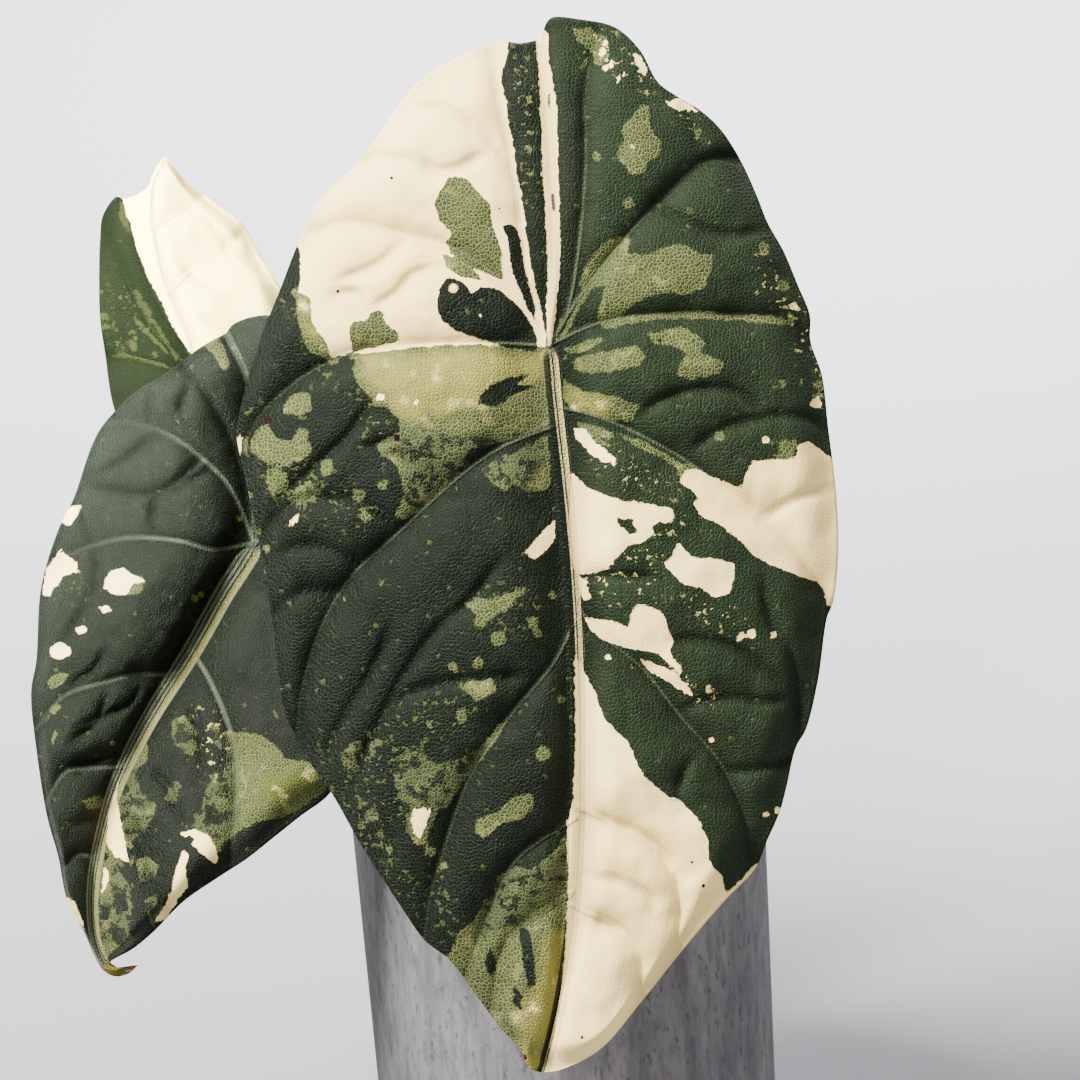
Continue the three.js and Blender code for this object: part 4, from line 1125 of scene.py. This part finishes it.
        (-166, -236, 3), (-202, -254, 3), (-87, -372, 7), (-118, -379, 5), (-5, -409, 8), (13, -354, 4),
        (-289, -186, 4), (-281, -203, 4), (-283, -228, 3), (-281, -246, 2), (-299, -150, 4),
        (-190, -150, 7), (-183, -172, 6), (-165, -140, 6), (-176, -470, 7), (-168, -490, 6),
        (-186, -480, 5), (-160, -505, 5), (-105, -520, 5), (-70, -318, 6), (-95, -322, 5),
    ],
    "warm": [
        [
            (-191, -7), (-148, -5), (-108, -3), (-68, -1), (-28, -5), (-3, -7), (2, -35), (-30, -50),
            (-80, -62), (-120, -75), (-150, -75), (-165, -50), (-191, -35),
        ],
        [(10, -580), (0, -580), (-8, -620), (-24, -660), (-40, -700), (-7, -765), (30, -700), (30, -580)],
        [(16, -34), (34, -45), (60, -50), (60, -75), (43, -68), (23, -64), (13, -52)],
        [(-250, 53), (-239, 50), (-236, 23), (-226, 0), (-248, 15)],
    ],
    "veil": [
        [
            (-146, -135), (-153, -105), (-148, -90), (-110, -85), (-60, -88), (-10, -88), (0, -110),
            (-20, -143), (-43, -148), (-78, -125), (-108, -150), (-143, -175),
        ],
        [(-255, -150), (-246, -134), (-230, -139), (-227, -148), (-239, -159), (-257, -157)],
        [(-215, -395), (-60, -390), (-84, -440), (-110, -475), (-150, -500), (-215, -480)],
        [(22, -497), (-10, -510), (-55, -530), (-76, -575), (-60, -592), (-20, -572), (0, -545), (20, -540)],
    ],
    "lace": [
        [
            (30, -228), (64, -206), (92, -196), (120, -178), (130, -152), (148, -160), (150, -182),
            (122, -196), (114, -222), (120, -240), (104, -258), (60, -258), (36, -250),
        ],
        [(120, -250), (150, -246), (180, -256), (212, -280), (206, -302), (170, -292), (130, -270)],
        [(40, -108), (70, -102), (110, -124), (132, -140), (130, -156), (84, -150), (48, -134)],
        [(110, -320), (140, -322), (176, -350), (160, -372), (120, -350), (84, -320)],
        [(-300, -100), (-244, -108), (-190, -130), (-160, -170), (-190, -196), (-250, -170), (-290, -150)],
        [(-196, -40), (-170, -50), (-150, -80), (-130, -120), (-160, -130), (-186, -90), (-205, -60)],
        [(-64, -232), (-20, -236), (0, -260), (-20, -300), (-70, -296), (-84, -262)],
        [(-210, -380), (-130, -350), (-80, -320), (-60, -370), (-110, -410), (-130, -480), (-190, -500)],
        [(-118, -500), (-90, -540), (-74, -600), (-110, -600), (-130, -540)],
        [(-235, -395), (-200, -380), (-170, -470), (-130, -530), (-110, -600), (-180, -520), (-225, -440)],
        [(-42, 300), (-12, 300), (-8, 200), (-14, 120), (-32, 160), (-40, 240)],
        [(20, 320), (60, 318), (110, 270), (150, 236), (160, 200), (120, 236), (80, 262), (40, 280)],
        [(210, 100), (250, 60), (272, 0), (280, -60), (260, -60), (240, 10), (206, 60)],
        [(-256, 40), (-244, 4), (-214, -30), (-190, -40), (-196, -60), (-236, -30), (-262, 6)],
    ],
    "over": [
        [
            (-100, 168), (-84, 168), (-75, 159), (-59, 143), (-57, 125), (-46, 93), (-46, 66), (-57, 70),
            (-75, 77), (-94, 89), (-102, 102), (-96, 111), (-109, 125), (-114, 143), (-107, 157),
        ],
        [(-108, 95), (-93, 87), (-73, 75), (-66, 65), (-88, 69), (-103, 80)],
        [
            (-198, 23), (-180, 25), (-178, 34), (-166, 36), (-162, 21), (-150, 14), (-148, 5), (-166, 0),
            (-194, -6), (-199, 7),
        ],
    ],
    "dark": [
        [
            (-101, 68), (-109, 57), (-111, 42), (-107, 25), (-93, 15), (-76, 9), (-58, 2), (-35, -3),
            (-12, -6), (-10, 7), (-19, 25), (-34, 43), (-52, 57), (-68, 58), (-76, 52), (-86, 64),
        ],
        [
            (-46, 120), (-34, 120), (-28, 107), (-24, 80), (-18, 57), (-12, 34), (-14, 25), (-23, 43),
            (-34, 66), (-39, 89), (-41, 107),
        ],
        [(0, 252), (2, 252), (2, 235), (0, 236)],
        [(3, 155), (6, 150), (7, 133), (4, 135)],
        [(68, -171), (76, -174), (86, -172), (84, -178), (91, -186), (80, -189), (78, -182), (71, -180)],
        [(112, -176), (127, -180), (124, -194), (106, -190), (104, -180)],
        [
            (-57, -39), (-39, -32), (-18, -29), (-30, -38), (-14, -41), (-34, -50), (-52, -61), (-71, -61),
            (-69, -50),
        ],
        [(-84, -114), (-80, -105), (-57, -98), (-30, -93), (-34, -102), (-57, -109), (-75, -118)],
        [(-121, -404), (-107, -406), (-93, -404), (-98, -418), (-112, -420)],
        [(-30, -577), (-20, -586), (-14, -604), (-12, -640), (-19, -643), (-25, -618)],
        [(-57, -604), (-50, -622), (-57, -631), (-64, -618)],
        [(-34, -641), (-27, -650), (-25, -668), (-35, -660)],
    ],
}
front_tint = {
    "dark": rgb(25, 36, 18),
    # painted light: the darker tone of the left half, for how the light falls on it
    "left_half_light": rgb(10, 14, 8),
    # painted shade for the green and pale tissue in creases and hollows
    "valley_shade": rgb(6, 12, 3),
    "net": rgb(40, 48, 35),
    "pale": rgb(62, 69, 36),
    "pale_2": rgb(50, 57, 31),
    "pale_net": rgb(120, 126, 76),
    "cream": rgb(247, 220, 146),
    "cream_2": rgb(240, 208, 130),
    # painted shade for the cream in creases and hollows
    "shaded_cream": rgb(196, 170, 112),
    "lace": rgb(168, 158, 96),
    "warm": rgb(116, 112, 52),
    "veil": rgb(44, 50, 36),
    "vein": rgb(84, 91, 66),
    "warm_spot": rgb(240, 208, 130),
    "bloom": 0.04,
    "net_scale": 1.06,
    "line": 0.6,
    "line_end": 0.08,
    "tipward": -1,
    "cord_width": 2.9,
    "cord_left": 0.45,
    "cord_split": 0.02,
    "taper": 0.25,
    "strands": 11.5,
    "cord": rgb(172, 165, 122),
    "cord_dark": rgb(5, 9, 3),
    "cord_edge": rgb(186, 175, 112),
    "under": rgb(66, 78, 54),
    "under_2": rgb(78, 90, 62),
    "under_pale": rgb(104, 116, 72),
    "under_cream": rgb(214, 196, 142),
    "under_rib": rgb(108, 118, 70),
}
# Pinprick marks: near-black dots on the cream, red-brown spots where a cell has died, and the tip's own.
front_dots = [
    (rgb(20, 18, 14), [
        (-39, 41.8, 0.4), (-52.5, 13.5, 0.35), (-32.5, 37.8, 0.25), (-12.2, 34.2, 0.3), (36, -129.2, 0.4),
        (38.8, -135.2, 0.4), (19, -157, 0.3), (7.2, -171.2, 0.3), (8.5, -173, 0.3), (-66, -7, 0.45),
    ]),
    (rgb(24, 5, 3), [(-70, -18.8, 0.9), (-71.2, -18, 0.6), (-37.8, -23.2, 0.9), (28, 1.2, 0.4)]),
    (rgb(130, 122, 48), [(-3.9, -179.2, 2.0)]),
    (rgb(60, 16, 12), [(-6.0, -178.0, 0.8)]),
    (rgb(240, 208, 130), [(-23.6, 14.3, 1.2), (-17, 7.5, 0.5)]),
]
front_skin = blade_finish("front_leaf_skin", front_tint, front_dots)
front = blade("blade_front_leaf", front_leaf, front_skin)
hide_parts("blade_front")

# Side blade. A second leaf of the same kind, lower and further back: folded along its midrib, swung
# forward at the tip, which ends in a small yellow hook that drips water off the leaf.


def side_form(x, y, from_rib, across):
    swing = 42 * smooth(-y, -10, 190)
    lift = 0.34 * from_rib - 0.0035 * from_rib**2
    swell = 9 * np.sin(-from_rib / 12) - 0.006 * from_rib**2
    curl = -4 * smooth(across, 0.8, 1) ** 2
    return swing + np.where(from_rib > 0, lift, swell) + curl - 0.12 * np.maximum(0, y)


side_leaf = {
    "hub": (-76.6, -9.7, 201.5),
    "eye": (77, 0.8, 1026),
    "step": 0.27,
    "rear_line": [(0, 0), (0, 11.6), (-0.8, 27.8), (-1.9, 43.5), (-4.6, 50.2), (-7.8, 56.7)],
    "midrib": [
        (0, 0), (-3, -5.1), (-8.1, -13), (-17, -28.9), (-28.6, -47.5), (-36.7, -63.5), (-39.7, -72.4),
        (-42.9, -85.9), (-44, -96.9), (-42.9, -107.7), (-39.5, -114), (-31.6, -113.9),
    ],
    "right": {
        "margin": [
            (-7.8, 56.7), (-6.2, 58.9), (-1.4, 61), (4.3, 61.6), (12.2, 60.2), (20.3, 53.5),
            (25.7, 38.6), (28.4, 17), (30, -4.6), (29.4, -26.2), (27, -45.1), (24.3, -58.6),
            (20.2, -67.5), (12, -73.9), (4, -80.3), (-2.2, -85.2), (-10.2, -90.4), (-19.4, -96.8),
            (-27.3, -104.8), (-32.8, -109.4), (-39.3, -113.4), (-37.5, -114.5), (-35, -114.9),
            (-31.6, -113.9),
        ],
        "hub_veins": [
            [(0, 0), (8.1, 27.8), (14.9, 46.7), (16, 57.8)],
            [(0, 0), (12.2, 6.2), (23, 11.6), (28.8, 13)],
        ],
        "rib_veins": [
            [(-5, -8), (9.5, -15.4), (20.3, -31.6), (27.2, -44)],
            [(-17, -28.9), (-11.3, -38.9), (-5.9, -53.5), (-5.1, -65), (-5.7, -78), (-6.4, -90)],
            [(-38.4, -68.5), (-31, -82.9), (-25.6, -93.7), (-22.4, -101.2)],
        ],
    },
    "left": {
        "margin": [
            (-7.8, 56.7), (-14.3, 53.2), (-24.8, 45.4), (-32.4, 40.8), (-41.3, 31.6), (-44.3, 25.9),
            (-48.9, 12.4), (-53.2, 3.5), (-57.8, -11.9), (-59.1, -31.6), (-60.5, -40.2),
            (-59.1, -55.6), (-56.2, -73.7), (-53.1, -84.9), (-50.9, -95.9), (-46.6, -104.2),
            (-42.6, -113), (-40.8, -115.5), (-37.7, -117), (-34.1, -116.2), (-31.6, -113.9),
        ],
        "hub_veins": [
            [(0, 0), (-6.5, 27.8), (-14.9, 42.7), (-20.3, 49)],
            [(0, 0), (-7, 15.4), (-15.4, 23.8), (-24.8, 30), (-35.6, 33), (-40.8, 32.1)],
            [(0, 0), (-11.9, -1.6), (-19.4, 0.5), (-35.1, 1.4), (-50.5, -3), (-56.4, -6)],
        ],
        "rib_veins": [
            [(-21.5, -35.5), (-32.4, -35.6), (-41.9, -37.8), (-52, -41.5), (-59.4, -50.5)],
            [(-35, -60.5), (-45.4, -60.8), (-50.5, -61.3), (-54, -65.3), (-56.7, -71)],
            [(-42.7, -85), (-48, -84.5), (-52.1, -88.8)],
        ],
    },
    "faint": (0, 2, 4, 5),
    "columns": 66,
    "relief": (5.0, 4.2, 2.8),
    "form": side_form,
    "cord": 1.1,
    "twig_depth": 2.9,
    "twig_width": 2.2,
    "row_gap": 1.1,
    "twigs": [
        [(-42, 75), (-70, 61), (-97, 48), (-103, 27), (-103, 8)],
        [(-65, 163), (-72, 143), (-77, 122)],
        [(-104, 149), (-107, 136), (-106, 120)],
        [(-52, 88), (-66, 72), (-84, 58), (-104, 50), (-138, 54), (-164, 60)],
        [(-96, 112), (-116, 96), (-134, 82), (-160, 70)],
        [(-176, 36), (-172, 20), (-166, 4)],
        [(-166, 2), (-160, -30), (-176, -70), (-196, -100)],
        [(-150, -104), (-160, -124), (-184, -140)],
        [(-112, -138), (-124, -160), (-150, -172), (-180, -184)],
        [(-148, -146), (-158, -178), (-186, -198)],
        [(-118, -205), (-150, -215), (-186, -222)],
        [(-130, -258), (-156, -274), (-182, -280)],
        [(-66, -160), (-56, -190), (-52, -224)],
        [(-104, -226), (-86, -246), (-74, -276)],
        [(-126, -276), (-110, -300), (-98, -330)],
        [(0, 120), (12, 140), (18, 170)],
        [(24, 30), (44, 60), (60, 96)],
    ],
    "cream": [
        [(-194, 22), (-190, 33), (-181, 39), (-174, 38), (-178, 27), (-186, 17)],
        [
            (-196, -4), (-187, -12), (-178, -18), (-176, -30), (-184, -31), (-190, -30), (-198, -40),
            (-206, -55), (-212, -52), (-211, -34), (-206, -22), (-199, -14),
        ],
        [
            (-150, -36), (-144, -27), (-133, -25), (-122, -31), (-110, -38), (-114, -48), (-126, -52),
            (-140, -51), (-151, -45),
        ],
        [(-205, -105), (-196, -99), (-185, -104), (-184, -112), (-195, -116), (-203, -114)],
        [(-157, -64), (-148, -62), (-143, -67), (-152, -70)],
        [(-180, -85), (-171, -82), (-168, -89), (-176, -91)],
        [
            (-136, -235), (-139, -256), (-134, -280), (-128, -304), (-127, -318), (-140, -314),
            (-149, -300), (-147, -272), (-141, -250),
        ],
        [
            (-74, -290), (-60, -286), (-46, -292), (-40, -304), (-36, -316), (-40, -321), (-51, -312),
            (-62, -302),
        ],
        [
            (-72, -308), (-66, -312), (-70, -326), (-68, -344), (-76, -356), (-90, -376), (-100, -378),
            (-92, -364), (-84, -348), (-80, -330),
        ],
        [(-188, -354), (-180, -360), (-172, -378), (-170, -388), (-178, -378), (-187, -362)],
        [(-151, -322), (-146, -330), (-148, -345), (-154, -350)],
    ],
    "pale": [
        [(-208, -138), (-196, -130), (-187, -132), (-194, -142), (-206, -146)],
        [(-206, -166), (-199, -160), (-194, -164), (-202, -172)],
        [(-206, -196), (-199, -186), (-197, -192), (-202, -202)],
        [(-172, -258), (-160, -253), (-148, -257), (-155, -264), (-168, -265)],
        [
            (-116, -178), (-112, -190), (-107, -205), (-107, -217), (-119, -227), (-128, -224), (-132, -218),
            (-124, -200),
        ],
        [
            (-133, -238), (-122, -228), (-114, -238), (-108, -256), (-98, -262), (-106, -280), (-114, -290),
            (-126, -300), (-133, -285), (-138, -262),
        ],
        [
            (-82, -178), (-72, -172), (-64, -180), (-56, -190), (-58, -206), (-64, -214), (-76, -204),
            (-84, -192),
        ],
        [(-86, -242), (-78, -236), (-70, -250), (-80, -262), (-90, -256)],
        [
            (-30, -188), (-14, -190), (7, -192), (22, -203), (30, -216), (57, -219), (73, -243),
            (44, -267), (22, -275), (0, -280), (-21, -290), (-34, -302), (-45, -306), (-46, -290),
            (-58, -284), (-62, -272), (-50, -262), (-42, -246), (-46, -232), (-30, -226), (-28, -206),
        ],
        [(-46, -178), (-38, -182), (-34, -206), (-42, -200)],
        [
            (-150, -315), (-143, -307), (-137, -327), (-127, -342), (-122, -362), (-127, -382),
            (-120, -397), (-135, -412), (-147, -417), (-157, -402), (-160, -382), (-155, -362),
            (-158, -342),
        ],
        [(-50, -247), (-30, -229), (-22, -233), (-17, -282), (-23, -297), (-43, -299), (-55, -269)],
        [(-120, -318), (-108, -312), (-96, -322), (-100, -336), (-114, -338)],
        [(-112, -356), (-98, -350), (-96, -370), (-106, -378)],
        [(-60, 206), (-42, 214), (-33, 199), (-24, 178), (-30, 170), (-40, 186)],
        (-38, -185, 3), (-30, -197, 2), (-20, -212, 2), (-35, -214, 2), (-143, -199, 2), (-16, 25, 3),
        (-60, -55, 3),
    ],
    "lace": [
        [(-210, -10), (-170, -6), (-160, -60), (-200, -70), (-214, -40)],
        [(-60, -160), (-30, -170), (-20, -230), (-60, -240)],
    ],
    "over": [[(-124, -42), (-110, -38), (-114, -50), (-126, -52)]],
    "warm": [[(7, -230), (28, -224), (57, -225), (60, -240), (30, -262), (4, -256)]],
    "veil": [
        [(-140, -300), (-90, -330), (-90, -390), (-130, -420), (-165, -400)],
        [(-90, -170), (-50, -180), (-20, -200), (-22, -300), (-90, -290), (-110, -230)],
        [(-140, -225), (-105, -225), (-100, -300), (-140, -300)],
    ],
    "dark": [
        [(-155, -362), (-145, -364), (-146, -377), (-154, -376)],
        [(-20, -295), (20, -280), (14, -288), (-22, -301)],
        [(-62, -226), (-50, -222), (-44, -236), (-52, -246), (-64, -240)],
        [(-118, -232), (-108, -236), (-106, -252), (-114, -254)],
        [(-50, -262), (-38, -266), (-36, -282), (-50, -280)],
        [(-140, -352), (-130, -350), (-126, -366), (-138, -372)],
        [(-142, -384), (-130, -386), (-132, -402), (-142, -398)],
        [(-72, -296), (-66, -302), (-60, -296), (-66, -292)],
    ],
}
side_tint = {
    **front_tint,
    "dark": rgb(17, 20, 14),
    # painted light: the left half of the side leaf lighter, for the sheen the light gives it
    "left_half_light": rgb(22, 28, 18),
    "net": rgb(40, 46, 35),
    "net_scale": 1.18,
    "warm": rgb(66, 72, 24),
    "warm_spot": rgb(92, 96, 40),
    "vein": rgb(84, 92, 74),
    "line": 1.0,
    "line_end": 0.15,
    "cord_width": 3.1,
    "cord_left": 0.9,
    "cord_split": -2,
    "taper": 0.5,
    "strands": 16.0,
    "cord": rgb(98, 103, 82),
    "cord_dark": rgb(34, 38, 28),
    "cord_edge": rgb(112, 108, 56),
}
side_dots = [
    (rgb(96, 88, 30), [(-38, -115.2, 3.2)]),
    (rgb(110, 58, 24), [(-32.4, -114.4, 1.8)]),
    (rgb(110, 104, 30), [(-4, 6.5, 0.6), (-14.6, -13.8, 0.9)]),
]
side = blade("blade_side_leaf", side_leaf, blade_finish("side_leaf_skin", side_tint, side_dots))
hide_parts("blade_side")

# Rear blade. The youngest and smallest leaf, tip up at the back, with its left edge folded behind. It
# is cream but for a mid-green strip down its folded side.


def rear_form(x, y, from_rib, across):
    fold = np.where(from_rib > 0, -0.12 * from_rib, 0.85 * from_rib)
    return fold - 0.1 * np.maximum(0, -y) - 2.5 * smooth(across, 0.75, 1) ** 2


rear_leaf = {
    "hub": (-93, 39.3, 237.5),
    "eye": (96.6, -45.4, 1064),
    "step": 0.28,
    "rear_line": [(0, 0), (1.5, -9), (3, -18), (4.2, -25.8)],
    "midrib": [
        (0, 0), (-1.1, 7.8), (-4.2, 16.2), (-7.8, 24.1), (-10.6, 34.2), (-12.3, 46), (-11.6, 54),
        (-8.1, 62.2),
    ],
    "right": {
        "margin": [
            (4.2, -25.8), (11.2, -29.1), (21, -25.8), (28, -17.4), (30.8, -6.2), (30.8, 5), (28.6, 14.8),
            (23.5, 26), (18.8, 33.6), (12.9, 43.7), (7.8, 47.6), (-1.1, 54), (-4.2, 57.1), (-8.1, 62.2),
        ],
        "hub_veins": [
            [(0, 0), (11.2, -7.6), (19.6, -16), (23.8, -23.2)],
            [(0, 0), (8.4, 9.2), (18.8, 16.8), (26, 21)],
        ],
        "rib_veins": [
            [(-7.6, 23.6), (0, 30.8), (8.4, 36.4), (14.3, 41.2)],
            [(-11.8, 42), (-4.2, 46.5), (2.4, 51.6)],
        ],
    },
    "left": {
        "margin": [
            (4.2, -25.8), (-1.4, -28), (-9.8, -27.2), (-16.8, -20.7), (-22.7, -8.4), (-25.2, 6.7),
            (-26.6, 16.5), (-26.9, 26.6), (-26.6, 39.2), (-25.8, 45.6), (-21.8, 51), (-20.2, 50.1),
            (-13.6, 53.2), (-12, 56.6), (-10.1, 60.2), (-8.1, 62.2),
        ],
        "hub_veins": [
            [(0, 0), (-5.6, -9), (-9.8, -17.4), (-11.2, -26.4)],
            [(0, 0), (-8.7, 3.4), (-15.7, 4.8), (-25.2, 6.7)],
            [(0, 0), (-4.8, 6.2), (-12.3, 14.3), (-17.6, 24.6), (-23.2, 37.2), (-25.8, 45.6)],
            [(0, 0), (-1.8, 7.4), (-6.8, 15.1), (-13.7, 29.1), (-17.6, 41.7), (-20.2, 50.1)],
        ],
        "rib_veins": [],
    },
    "faint": (),
    "columns": 44,
    "relief": (1.8, 3, 1.5),
    "form": rear_form,
    "cord": 0.5,
    "twig_depth": 0.9,
    "twig_width": 1.8,
    "row_gap": 1.3,
    "twigs": [
        [(10, 163), (20, 150), (40, 130), (62, 112)],
        [(-16, 116), (8, 96), (30, 84), (56, 78)],
        [(0, 60), (30, 56), (60, 46)],
        [(20, 146), (28, 140), (34, 124)],
    ],
    "cream": [
        [
            (-69, 168), (-63, 150), (-57, 126), (-47, 101), (-35, 80), (-25, 58), (-15, 40), (-4, 24),
            (0, 0), (8, -40), (16, -110), (130, -110), (130, 240), (-90, 240),
        ],
    ],
    "pale": [
        [(-74, 171), (-72, 160), (-69, 146), (-70, 144), (-75, 156), (-75, 168)],
        [
            (-67, 93), (-60, 82), (-53, 68), (-42, 52), (-30, 35), (-19, 18), (-17, 20), (-27, 38),
            (-50, 72), (-60, 90),
        ],
        [(-62, 86), (-54, 75), (-45, 62), (-35, 46), (-33, 48), (-50, 76), (-58, 90)],
        [(-64, 62), (-55, 50), (-43, 38), (-28, 24), (-26, 27), (-44, 44), (-58, 60)],
        [(-88, 22), (-70, 20), (-45, 15), (-25, 9), (-26, 12), (-50, 20), (-72, 25)],
        (-87, 93, 3), (-91, 62, 4), (-89, 52, 4), (-78, 48, 3), (-78, 35, 3), (-66, 35, 3), (-55, 20, 2),
        (-40, 24, 3), (-62, 32, 2),
    ],
    "lace": [[(-92, 100), (-66, 100), (-40, 50), (-60, 10), (-92, 30)]],
    "over": [],
    "dark": [],
    "warm": [],
    "veil": [],
}
rear_tint = {
    **front_tint,
    "bloom": 0.0,
    "tipward": 1,
    "cord_width": 0.7,
    "dark": rgb(19, 24, 14),
    # painted light: the tone of the left half, here close to the rest
    "left_half_light": rgb(20, 25, 15),
    # painted shade for the green and pale tissue in creases and hollows
    "valley_shade": rgb(11, 16, 7),
    "net": rgb(28, 35, 20),
    "pale": rgb(46, 50, 26),
    "pale_2": rgb(38, 43, 22),
    "pale_net": rgb(54, 58, 32),
    "lace": rgb(60, 62, 36),
    "vein": rgb(34, 42, 26),
    "cream": rgb(255, 234, 146),
    "cream_2": rgb(255, 229, 132),
    # painted shade for the cream in creases and hollows
    "shaded_cream": rgb(244, 214, 128),
}
rear = blade("blade_rear_leaf", rear_leaf, blade_finish("rear_leaf_skin", rear_tint, gloss=0.0))
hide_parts("blade_rear")
